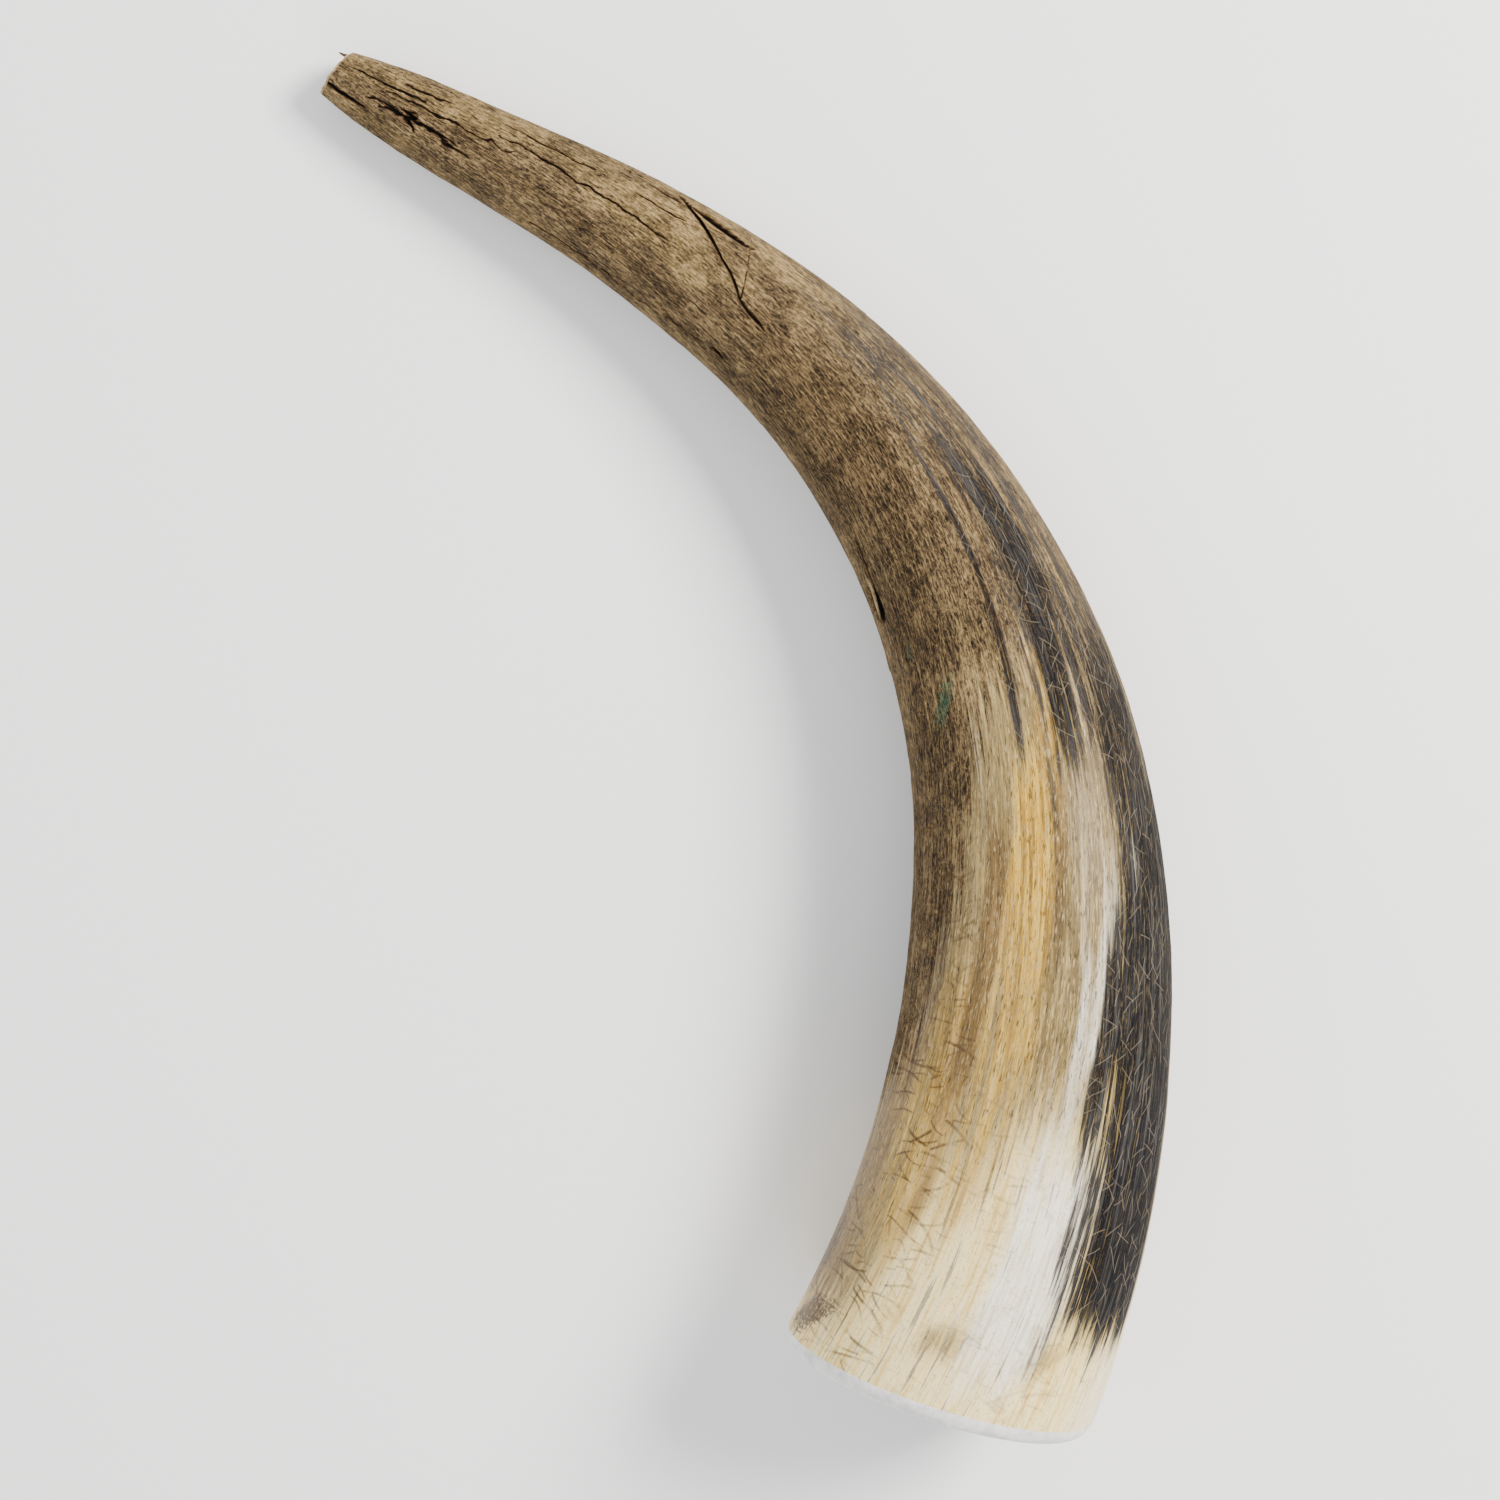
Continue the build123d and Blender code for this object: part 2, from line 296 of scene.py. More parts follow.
STREAKS: dict[Pigment, tuple[Streak, ...]] = {
    Pigment.HONEY: (
        Streak(222, 268, 2, -12, 12, 0.75),
        Streak(236, 260, -2, -14, 8, 1.0),
        Streak(255, 335, -8, -24, 11, 0.55, 20),
        Streak(272, 352, -44, -62, 26, 0.5, 20),
        Streak(154, 190, 24, 12, 5, 0.7),
        Streak(198, 236, 20, 8, 9, 0.5),
        Streak(235, 330, -120, -140, 25, 0.5, 25),
    ),
    Pigment.UMBER_AND_SHADE: (
        Streak(238, 306, -20, -38, 5, 0.9, 14),
        Streak(316, 340, -36, -42, 4, 0.6, 10),
        Streak(226, 262, 12, 2, 4, 0.7, 14),
        # These two streaks, along the inner side of the bend, are partly painted shade that darkens that
        # side.
        Streak(250, 300, -56, -64, 9, 0.85, 20),
        Streak(300, 372, -70, -82, 12, 0.72, 20),
    ),
    Pigment.TAN: (
        Streak(-10, 205, 0, 0, 190, 1.0, 4),
        Streak(210, 366, -62, -78, 30, 0.85, 16),
        Streak(198, 322, -18, -36, 22, 0.85, 26),
        Streak(198, 308, 16, 6, 22, 0.95, 22),
        Streak(196, 296, 42, 34, 30, 1.0, 20),
        Streak(349, 359, 30, 16, 9, 0.66, 5),
        Streak(352, 362, -8, -16, 8, 0.62, 5),
        Streak(215, 380, 180, 180, 70, 0.6, 24),
        Streak(270, 348, 112, 112, 46, 0.75, 34),
    ),
    Pigment.MILK_AND_HIGHLIGHT: (
        # Milky horn with a painted highlight: this streak and the one from 268 to 300 lie where the bell's
        # highlight falls.
        Streak(312, 362, 14, 4, 16, 0.95, 18),
        Streak(250, 300, 28, 22, 4, 0.3, 14),
        Streak(244, 262, 45, 43, 4, 0.8, 8),
        Streak(268, 300, 20, 12, 5, 0.6, 15),
        Streak(325, 380, 88, 70, 30, 0.5, 20),
        Streak(300, 350, -160, -170, 14, 0.6, 20),
    ),
    Pigment.SOOT: (
        Streak(236, 350, 64, 54, 17, 1.0, 12),
        Streak(262, 348, 36, 28, 13, 0.64, 18),
        Streak(205, 305, 55, 45, 20, 0.72, 18),
        Streak(225, 300, 88, 84, 14, 0.8, 14),
        Streak(262, 343, 44, 34, 7, 0.85, 16),
        Streak(268, 314, 27, 16, 3.5, 0.62, 12),
        Streak(158, 226, 10, -6, 2.0, 0.75, 16),
        Streak(118, 235, 46, 38, 34, 0.5, 20),
        Streak(162, 200, 33, 30, 11, 0.62, 12),
        Streak(196, 226, 26, 18, 7, 0.66, 12),
        Streak(250, 300, 112, 106, 16, 0.8, 20),
        Streak(190, 330, 158, 150, 16, 0.7, 24),
        Streak(230, 320, -128, -138, 12, 0.7, 24),
        Streak(60, 120, 120, 110, 30, 0.4, 24),
    ),
    Pigment.DIRT: (
        Streak(98, 236, -44, -52, 26, 0.6, 24),
        Streak(236, 296, -66, -74, 24, 0.6, 24),
        Streak(38, 94, -14, -34, 10, 0.6, 14),
        Streak(6, 44, 8, -8, 8, 0.5, 10),
        Streak(102, 138, -4, -20, 13, 0.68, 12),
        Streak(124, 178, -10, -22, 18, 0.66, 14),
        Streak(-4, 13, -34, -34, 7, 0.9, 4),
        Streak(200, 245, 12, 4, 3, 0.6, 12),
        Streak(250, 276, 8, -2, 4, 0.5, 10),
        Streak(150, 330, 180, 180, 28, 0.5, 30),
    ),
    Pigment.BLEACH: (
        Streak(2, 110, 62, 46, 40, 0.7, 25),
        Streak(120, 245, 66, 52, 22, 0.42, 25),
        Streak(20, 120, -62, -70, 14, 0.42, 20),
        Streak(-4, 22, -52, -54, 14, 0.85, 6),
        Streak(-4, 40, 24, 22, 24, 0.7, 10),
        Streak(66, 98, 10, -2, 15, 0.85, 10),
        Streak(185, 236, 50, 46, 26, 0.62, 16),
        Streak(202, 262, 76, 72, 14, 0.8, 14),
        Streak(186, 214, -6, -14, 14, 0.6, 12),
        Streak(60, 240, 150, 140, 30, 0.4, 30),
    ),
    Pigment.GREEN: (
        Streak(204, 214, -34, -46, 5, 0.8, 5),
        Streak(192, 197, -54, -56, 2, 0.6, 3),
    ),
    Pigment.STAIN: (
        Streak(363, 374, -66, -80, 9, 0.95, 5),
        Streak(340, 362, -84, -88, 8, 0.75, 8),
    ),
    Pigment.SCUFF: (
        Streak(282, 384, -62, -66, 34, 1.0, 22),
        Streak(225, 300, -50, -58, 22, 0.6, 20),
        Streak(300, 345, -14, -20, 18, 0.35, 20),
        Streak(345, 370, 30, 0, 34, 0.3, 10),
    ),
}

# A crack's fourth number, where given, is how strongly painted shade darkens it.
CRACKS: tuple[Crack, ...] = (
    Crack(((16, 31), (27, 32)), 0.5, 0.4, 0.8),
    Crack(((40, 42), (50, 37), (62, 35)), 0.5, 0.5, 0.8),
    Crack(((4, 21), (12, 19), (22, 16)), 0.4, 0.4, 0.8),
    Crack(((40, 21), (52, 17), (62, 12), (84, 7)), 0.45, 0.45, 0.9),
    Crack(((12, 8), (45, 8)), 0.45, 0.4, 1.2),
    Crack(((9, -14), (33, -14)), 0.5, 0.4, 1.2),
    Crack(((74, 54), (84, 52)), 0.4, 0.3),
    Crack(((72, 32), (85, 32)), 0.4, 0.3),
    Crack(((54, -60), (70, -61), (90, -65)), 0.5, 0.4, 0.8),
    Crack(((-2, -30), (4, -36), (10, -33)), 1.1, 0.6, 0.8),
    Crack(((17.5, -3), (21.5, -9), (19.5, -17), (22.5, -27)), 1.5, 1.3, 1.4),
    Crack(((13, -22), (19, -13), (27, -16), (36, -24)), 0.8, 0.6, 1.6, 0.9),
    # This crack's painted shade goes above 1, so that its far wall, which faces the light, is painted black
    # too.
    Crack(((80.5, 62), (84.0, 54.5), (99.6, 46.6)), 2.1, 1.9, 0.15, 2.6),
    Crack(((103.5, 1), (107, -4), (113, -8)), 0.7, 0.6),
    Crack(((163, -60), (171, -64), (180, -65)), 0.7, 0.7),
    Crack(((105, -50), (109, -53)), 1.2, 0.8),
    Crack(((88, -50), (95, -60), (103, -53)), 0.5, 0.35, 0.8, 0.7),
    Crack(((150, 23), (165, 19), (190, 11)), 0.9, 0.3, 0.7, 0.35),
    Crack(((158, 10), (200, 0), (222, -5)), 0.6, 0.25, 0.9, 0.35),
    Crack(((30, 95), (58, 90), (80, 92)), 0.6, 0.5, 0.8),
    Crack(((20, -110), (52, -118)), 0.6, 0.5, 0.8),
    Crack(((96, 128), (140, 120)), 0.6, 0.5, 0.8),
    Crack(((110, -130), (160, -142)), 0.6, 0.5, 0.8),
    Crack(((40, 165), (95, 158)), 0.6, 0.6, 0.8),
)


def route_distance(along: Array, arc: Array, route: Array) -> tuple[Array, Array]:
    """Distance of each place from a route of straight runs, and its share of the way along it.

    Args:
        along: Distances along the horn.
        arc: Distances round the horn, in millimetres.
        route: The route's corners in the same two measures.

    Returns:
        The smallest distance to any run, and the share of the route's length at the nearest point.
    """
    best = np.full(along.shape, 1e9)
    share = np.zeros(along.shape)
    steps = np.diff(route, axis=0)
    lengths = np.hypot(*steps.T)
    passed = 0.0
    for start, step, length in zip(route[:-1], steps, lengths):
        run = ((along - start[0]) * step[0] + (arc - start[1]) * step[1]) / length**2
        run = np.clip(run, 0, 1)
        distance = np.hypot(along - start[0] - run * step[0], arc - start[1] - run * step[1])
        nearer = distance < best
        best = np.where(nearer, distance, best)
        share = np.where(nearer, (passed + run * length) / lengths.sum(), share)
        passed += length
    return best, share


def inside_outline(along: Array, angle: Array, outline: Array) -> Array:
    """Whether each place lies inside a closed outline.

    It does where a line from it towards higher angles crosses the outline an odd number of times.
    """
    inside = np.zeros(along.shape, bool)
    for (a, b), (c, d) in zip(outline, np.roll(outline, -1, axis=0)):
        spans = (a > along) != (c > along)
        crossing = b + (along - a) * (d - b) / (c - a if c != a else 1e-9)
        inside ^= spans & (angle < crossing)
    return inside


class Cloth(Enum):
    """What a pattern is printed on.

    A barrel of one radius keeps long fibres whole, a cone of the horn's own radius keeps short
    marks at their real size, and a flat sheet, joined underneath, takes scratches.
    """

    BARREL = "grain"
    CONE = "real_size"
    SHEET = "sheet"


@dataclass(frozen=True)
class Split:
    """The V-shaped split on top of the tip: the flake's two long edges, from the V's point.

    Both edges are chosen places (distance, angle); the flake lies between them.
    """

    lower: Route = ((83.2, 51.5), (89.5, 35), (96.2, 18.5), (99.2, 13), (104.2, 0))
    upper: Route = ((83.2, 52.5), (98.6, 47.0))
    depth: float = 2.0
    lower_gap: float = 1.0
    upper_gap: float = 1.3

    def outline(self) -> Array:
        """The split's outline: out along one edge and back along the other."""
        return np.array([*self.lower, *self.upper[:0:-1]])


@dataclass(frozen=True)
class Skin:
    """The horn's surface: how far it stands from the plain form, and what lies on it.

    Lengths are millimetres. bark_ends are the distances at which the bark ends at bark_angles;
    streak_edge holds the shares of a streak's half width at which it starts and stops to fade;
    scale_edges holds the height of each older cone's edge and how far back it fades. pocket_shade_fade
    holds the distances past the pocket's edge at which its painted shade starts and stops fading, and
    notch_shade scales the painted shade in the notch.
    """

    form: HornForm
    split: Split = Split()
    lips: tuple[float, float, float] = (126.0, 197.0, 262.0)
    lip_waver: float = 1.6
    barrel: float = 25.0
    bark_angles: tuple[float, ...] = (-180, -130, -70, -50, -30, -10, 10, 30, 50, 70, 110, 180)
    bark_ends: tuple[float, ...] = (300, 318, 308, 262, 220, 206, 210, 216, 252, 300, 310, 300)
    bark_waver: float = 16.0
    bark_fade: tuple[float, float] = (22.0, 20.0)
    streak_waver: float = 3.0
    streak_edge: tuple[float, float] = (0.55, 1.35)
    crack_room: float = 4.0
    crack_foot: float = 0.25
    crack_slope: float = 0.22
    crack_thinning: float = 2.4
    pocket_room: float = 2.0
    pocket_slope: float = 0.3
    pocket_shade_fade: tuple[float, float] = (0.1, 0.5)
    scale_edges: tuple[tuple[float, float], ...] = ((0.34, 5.0), (0.22, 6.0), (0.05, 5.0))
    notch: tuple[float, float] = (180.0, -72.0)
    notch_size: tuple[float, float, float] = (6.5, 3.4, 2.4)
    notch_raggedness: float = 0.25
    notch_shade: float = 1.6

    def unrolled(self, along: Array, angle: Array) -> Array:
        """The place on a straight barrel of one radius, on which the grain runs straight."""
        turn = np.radians(self.form.grain_angle(along, angle))
        return np.stack([self.barrel * np.cos(turn), self.barrel * np.sin(turn), along], -1)

    def cloth(self, kind: Cloth, along: Array, angle: Array) -> Array:
        """Where each place lies on one of the cloths that the patterns are printed on."""
        if kind is Cloth.BARREL:
            return self.unrolled(along, angle)
        turn = np.radians(self.form.grain_angle(along, angle))
        if kind is Cloth.SHEET:
            return np.stack([self.barrel * np.radians(angle), along, np.zeros_like(along)], -1)
        radius = self.form.radius(np.clip(along, 0, self.form.length))
        return np.stack([radius * np.cos(turn), radius * np.sin(turn), along], -1)

    def noise(
        self, along: Array, angle: Array, across: float, length: float, seed: int, layers: int = 3
    ) -> Array:
        """Layered noise whose lumps measure across round the horn and length along it."""
        scale = np.array([1 / across, 1 / across, 1 / length])
        return layered_noise(self.unrolled(along, angle) * scale, SEED + seed, layers)

    def lip(self, number: int, angle: Array) -> Array:
        """Distance at which an older cone's edge lies: its mean plus a waver round the horn."""
        turn = np.radians(angle)
        around = np.stack([2.2 * np.cos(turn), 2.2 * np.sin(turn), np.full(angle.shape, 7.0 * number)], -1)
        return self.lips[number] + self.lip_waver * layered_noise(around, SEED + 40 + number, 4)

    def bark(self, along: Array, angle: Array) -> Array:
        """1 on weathered bark and 0 on polished horn, with an edge that is ragged along the grain."""
        end = np.interp(angle, self.bark_angles, self.bark_ends)
        end = end + self.bark_waver * self.noise(along, angle, 5.0, 60.0, 1)
        before, past = self.bark_fade
        return 1 - ease(along, end - before, end + past)

    def pigment(self, kind: Pigment, along: Array, angle: Array) -> Array:
        """How strongly one pigment shows: its streaks laid over one another.

        A streak falls off with the angle from its middle and with the distance past its ends;
        streaks combine as one less the product of what each leaves bare.
        """
        bare = np.ones(along.shape)
        wander = self.streak_waver * self.noise(along, angle, 9.0, 70.0, 2)
        full, gone = self.streak_edge
        for streak in STREAKS.get(kind, ()):
            share = (along - streak.start) / (streak.end - streak.start)
            middle = streak.angle_start + (streak.angle_end - streak.angle_start) * share + wander
            off = np.abs((angle - middle + 180) % 360 - 180)
            across = 1 - ease(off, streak.half_width * full, streak.half_width * gone)
            ends = ease(along, streak.start - streak.end_fade, streak.start + streak.end_fade)
            ends = ends * (1 - ease(along, streak.end - streak.end_fade, streak.end + streak.end_fade))
            bare = bare * (1 - streak.strength * across * ends)
        return 1 - bare

    def cracks(self, along: Array, angle: Array) -> tuple[Array, Array]:
        """How deep the cracks cut here, in millimetres, and how strongly painted shade darkens them."""
        depth = np.zeros(along.shape)
        shade = np.zeros(along.shape)
        arc = self.form.radius(along) * np.radians(angle)
        shake = self.noise(along, angle, 4.0, 3.0, 3)
        for crack in CRACKS:
            route = np.array(crack.route, float)
            first, last = route[:, 0].min() - self.crack_room, route[:, 0].max() + self.crack_room
            near = (along > first) & (along < last)
            if not near.any():
                continue
            route[:, 1] = self.form.radius(route[:, 0]) * np.radians(route[:, 1])
            off, share = route_distance(along[near], arc[near] + crack.waver * shake[near], route)
            half = crack.width / 2 * np.sqrt(np.sin(np.pi * np.clip(share, 0.02, 0.98)))
            cut = 1 - ease(off, half * self.crack_foot, half + self.crack_slope)
            thinned = np.minimum(1, half / crack.width * self.crack_thinning)
            depth[near] = np.maximum(depth[near], crack.depth * cut * thinned)
            shade[near] = np.maximum(shade[near], np.minimum(1, cut * crack.shade))
        return depth, shade

    def pocket(self, along: Array, angle: Array) -> tuple[Array, Array]:
        """Depth of the pocket that the split's flake lies in, and its painted shade, which reaches past the
        edge.
        """
        depth, shade = np.zeros(along.shape), np.zeros(along.shape)
        outline = self.split.outline()
        first, last = outline[:, 0].min() - self.pocket_room, outline[:, 0].max() + self.pocket_room
        near = (along > first) & (along < last)
        if not near.any():
            return depth, shade
        inside = inside_outline(along[near], angle[near], outline)
        scaled = outline.copy()
        scaled[:, 1] = self.form.radius(scaled[:, 0]) * np.radians(scaled[:, 1])
        closed = np.vstack([scaled, scaled[:1]])
        arc = self.form.radius(along[near]) * np.radians(angle[near])
        edge, _ = route_distance(along[near], arc, closed)
        depth[near] = np.where(inside, self.split.depth * ease(edge, 0.0, self.pocket_slope), 0)
        shade[near] = np.where(inside, 1, 1 - ease(edge, *self.pocket_shade_fade))
        return depth, shade

    def hole(self, along: Array, angle: Array) -> Array:
        """Depth of the notch on the inside of the bend: an oval bowl."""
        length, width, depth = self.notch_size
        arc = self.form.radius(along) * np.radians(angle - self.notch[1])
        off = np.hypot((along - self.notch[0]) / length, arc / width)
        off = off + self.notch_raggedness * self.noise(along, angle, 2.0, 3.0, 4)
        return depth * (1 - ease(off, 0.35, 1.0))

    def grown(self, along: Array, angle: Array) -> Array:
        """How far the unbroken skin stands off the plain form, in millimetres.

        Broad lumps, fibre ridges that are strong on bark, and shallow growth rings.
        """
        bark = self.bark(along, angle)
        lumps = 0.32 * self.noise(along, angle, 24.0, 46.0, 5, 2)
        ridges = (0.05 + 0.16 * bark) * self.noise(along, angle, 2.6, 34.0, 6)
        fibres = 0.07 * bark * self.noise(along, angle, 1.1, 16.0, 7, 2)
        rings = (0.03 + 0.09 * bark) * self.noise(along, angle, 60.0, 5.0, 8, 2)
        calm = ease(along, 0, 12) * (1 - 0.8 * ease(along, self.form.length - 14, self.form.length))
        return (lumps * calm + ridges + fibres + rings) * (0.35 + 0.65 * calm)

    def scales(self, along: Array, angle: Array) -> Array:
        """Height of the thin edges where an older cone still stands over a younger one."""
        total = np.zeros(along.shape)
        for number, (height, fade) in enumerate(self.scale_edges):
            lip = self.lip(number, angle)
            patchy = 0.35 + 0.65 * ease(self.noise(along * 0, angle, 9.0, 9.0, 9 + number), -0.2, 0.5)
            behind = np.clip(lip - along, 0, None)
            total += np.where(along <= lip, height * patchy * np.exp(-behind / fade), 0)
        return total

    def reach(self, along: Array, angle: Array) -> Array:
        """How far the skin stands from the axis, with everything on it."""
        cut, _ = self.cracks(along, angle)
        broken = np.maximum.reduce([cut, self.pocket(along, angle)[0], self.hole(along, angle)])
        return self.form.radius(along) + self.grown(along, angle) + self.scales(along, angle) - broken


# ---------------------------------------------------------------- meshes


class Surface(IntEnum):
    """Which finish a face takes: the number is its material slot."""

    SKIN = 0
    GROUND = 1
    LINING = 2
    TORN = 3


@dataclass
class Run:
    """A stretch of a cone's profile: for each row, where it lies and how far out, at each angle."""

    along: Array
    reach: Array
    surface: Surface


def closed_faces(rows: int, columns: int, rows_close: bool) -> Array:
    """Quads of a grid that closes round its columns, and round its rows too if asked.

    A quad joins cell (r, c) to its next row and next column, counted round the grid's size, in the
    order that makes it face outwards where rows run forwards.
    """
    row = np.arange(rows if rows_close else rows - 1)[:, None]
    column = np.arange(columns)[None, :]
    below, beside = (row + 1) % rows, (column + 1) % columns
    first, second = row * columns, below * columns
    corners = (first + column, second + column, second + beside, first + beside)
    return np.stack(np.broadcast_arrays(*corners), -1).reshape(-1, 4)


def new_piece(name: str, points: Array, faces: list, surfaces: Array) -> bpy.types.Object:
    """Makes an object at the origin from points in millimetres and faces.

    Args:
        name: The piece's name.
        points: One row of x, y, z for each vertex.
        faces: Vertex numbers of each face.
        surfaces: The material slot of each face.

    Returns:
        The new object, smooth shaded except over sharp edges.
    """
    mesh = bpy.data.meshes.new(f"{name}_horn")
    mesh.from_pydata((points * MM).tolist(), [], faces)
    mesh.polygons.foreach_set("material_index", np.asarray(surfaces, np.int32))
    mesh.shade_smooth()
    mesh.set_sharp_from_angle(angle=math.radians(SHARP_EDGE))
    piece = bpy.data.objects.new(mesh.name, mesh)
    bpy.context.scene.collection.objects.link(piece)
    return piece


@dataclass
class HornPart:
    """What every piece of the horn shares: the form and the skin on it."""

    skin: Skin
    name: str = ""

    @property
    def form(self) -> HornForm:
        """The horn's form."""
        return self.skin.form

    def mark(
        self, piece: bpy.types.Object, along: Array, angle: Array, dark: Array | None = None
    ) -> None:
        """Stores on each vertex its place along the grain, how much of each pigment it has and its painted
        crack shade.

        Args:
            piece: The object to mark.
            along: Distance along the horn of each vertex.
            angle: Angle round the horn of each vertex.
            dark: Darkening to use instead of the skin's painted crack shade, for a piece that cracks have
                freed: painted shade on a flake's underside and edges, or a sliver's darker free end.
        """
        flat_along, flat_angle = along.reshape(-1), angle.reshape(-1)
        mesh = piece.data
        for cloth in Cloth:
            places = self.skin.cloth(cloth, flat_along, flat_angle) * MM
            layer = mesh.attributes.new(cloth.value, "FLOAT_VECTOR", "POINT")
            layer.data.foreach_set("vector", places.reshape(-1))
        amounts = {kind: self.skin.pigment(kind, flat_along, flat_angle) for kind in STREAKS}
        amounts[Pigment.BARK] = self.skin.bark(flat_along, flat_angle)
        # Painted shade for the cracks, the notch's pit and the split's pocket, kept in the crack attribute.
        _, shade = self.skin.cracks(flat_along, flat_angle)
        hole = self.skin.hole(flat_along, flat_angle) / self.skin.notch_size[2]
        pit_shade = np.minimum(1, self.skin.notch_shade * hole)
        _, pocket = self.skin.pocket(flat_along, flat_angle)
        own = np.maximum.reduce([shade, pit_shade, pocket])
        amounts[Pigment.CRACK_SHADE] = own if dark is None else dark.reshape(-1)
        for kind, values in amounts.items():
            layer = mesh.attributes.new(kind.value, "FLOAT", "POINT")
            layer.data.foreach_set("value", values.astype(np.float32))

    def dress(self, piece: bpy.types.Object, finishes: dict, slot: str) -> None:
        """Gives the piece its finishes, hangs it under the root body and hides the CAD node of the same
        name.
        """
        for surface in Surface:
            piece.data.materials.append(finishes[surface])
        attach(piece, "root")
        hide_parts(self.name)
        LOG.info("%s: %d faces", piece.name, len(piece.data.polygons))


@dataclass
class GrowthCone(HornPart):
    """One growth cone: its skin, the socket that takes the younger cone, its lining and its tongue.

    The closed profile runs forwards along the skin, back inside and out to the skin again, and is
    carried round the axis.
    """

    number: int = 0
    columns: int = 300
    skin_rows: int = 200
    lip_edge: float = 1.2
    tongue_wall: float = 2.0
    tongues: tuple[float, float, float] = (38.0, 57.0, 50.0)
    joint_gap: float = 0.03
    inner_rows: int = 60
    crowding: float = 19.8
    lining_ripple: float = 0.12

    def angles(self) -> Array:
        """Angles of the columns, closer together on the upper side.

        Each is an even step less the crowding times its sine, so the finest columns lie on top.
        """
        even = np.linspace(-180, 180, self.columns, endpoint=False)
        return even - self.crowding * np.sin(np.radians(even))

    def tongue_reach(self, number: int, along: Array) -> Array:
        """A younger cone's outside within the older one: a straight mix from wall to edge."""
        lip, length = self.skin.lips[number], self.tongues[number]
        share = np.clip((along - lip + length) / length, 0, 1)
        inner = np.maximum(self.form.hollow(along), self.form.bore_radius) + self.tongue_wall
        outer = self.form.radius(along) - self.lip_edge
        return inner + (outer - inner) * share

    def lining_reach(self, along: Array, angle: Array) -> Array:
        """The air way's wall: the drilled bore near the tip, the natural hollow beyond it.

        The bore is a straight chord of the bent axis, so its circle lies off the axis by the
        difference, towards the inside of the bend.
        """
        form = self.form
        centre, side, _, _ = form.axis(along)
        first, last = form.axis(np.array([0.0]))[0], form.axis(np.array([form.bore_depth]))[0]
        chord = first + (last - first) * (along / form.bore_depth)[..., None]
        off = ((chord - centre) * side).sum(-1)
        turn = np.radians(angle)
        mouthpiece = form.mouth_radius * form.height_ratio - form.mouth_wall
        opened = np.interp(along, [0, form.mouthpiece_depth], [mouthpiece, form.bore_radius])
        half_chord = np.clip(opened**2 - (off * np.cos(turn)) ** 2, 0.01, None)
        circle = off * np.sin(turn) + np.sqrt(half_chord)
        ripple = self.lining_ripple * self.skin.noise(along, angle, 3.0, 30.0, 20)
        hollow = form.hollow(along) + ripple
        opened_hollow = hollow * (along > form.hollow_start)
        return np.where(along < form.bore_depth, np.maximum(circle, opened_hollow), hollow)

    def rows(self, start: Array, end: Array, count: int) -> Array:
        """Distances for each row and column, from one wavering line to another."""
        share = np.linspace(0, 1, count)[:, None]
        return start[None, :] * (1 - share) + end[None, :] * share

    def skin_run(self, start: Array, end: Array) -> Run:
        """The outside between two lines."""
        along = self.rows(start, end, self.skin_rows)
        angle = np.broadcast_to(self.angles(), along.shape)
        return Run(along, self.skin.reach(along, angle), Surface.SKIN)

    def socket_runs(self, lip: Array) -> list[Run]:
        """The older cone's edge and the socket behind it, back to the younger cone's upper end."""
        length = self.tongues[self.number]
        back = self.rows(lip, np.full_like(lip, self.skin.lips[self.number] - length), self.inner_rows)
        reach = self.tongue_reach(self.number, back) + self.joint_gap
        return [Run(back, reach, Surface.TORN)]

    def tongue_runs(self, lip: Array) -> list[Run]:
        """This cone's own tongue inside the older cone, from its upper end out to the older edge."""
        older = self.number - 1
        start = np.full_like(lip, self.skin.lips[older] - self.tongues[older])
        forward = self.rows(start, lip, self.inner_rows)
        reach = self.tongue_reach(older, forward)
        return [Run(forward, reach, Surface.TORN)]

    def lining_run(self, start: Array, end: Array, count: int) -> Run:
        """The air way's wall, run backwards from the bell's side."""
        along = self.rows(start, end, count)
        angle = np.broadcast_to(self.angles(), along.shape)
        return Run(along, self.lining_reach(along, angle), Surface.LINING)

    def runs(self) -> list[Run]:
        """The whole profile of a cone that lies between two others."""
        angle = self.angles()
        upper, lower = self.skin.lip(self.number - 1, angle), self.skin.lip(self.number, angle)
        inner_end = np.full_like(angle, self.skin.lips[self.number] - self.tongues[self.number])
        inner_start = np.full_like(angle, self.skin.lips[self.number - 1] - self.tongues[self.number - 1])
        return [
            self.skin_run(upper, lower),
            *self.socket_runs(lower),
            self.lining_run(inner_end, inner_start, self.inner_rows),
            *self.tongue_runs(upper),
        ]

    def build(self) -> bpy.types.Object:
        """Carries the profile round the axis and makes the closed mesh."""
        runs = self.runs()
        along = np.vstack([run.along for run in runs])
        reach = np.vstack([run.reach for run in runs])
        angle = np.broadcast_to(self.angles(), along.shape)
        points = self.form.place(along, angle, reach)
        faces = closed_faces(*along.shape, rows_close=True)
        row_surface = np.concatenate([np.full(len(run.along), int(run.surface)) for run in runs])
        surfaces = np.repeat(np.maximum(row_surface, np.roll(row_surface, -1)), self.columns)
        piece = new_piece(self.name, points.reshape(-1, 3), faces.tolist(), surfaces)
        self.mark(piece, along, angle)
        return piece


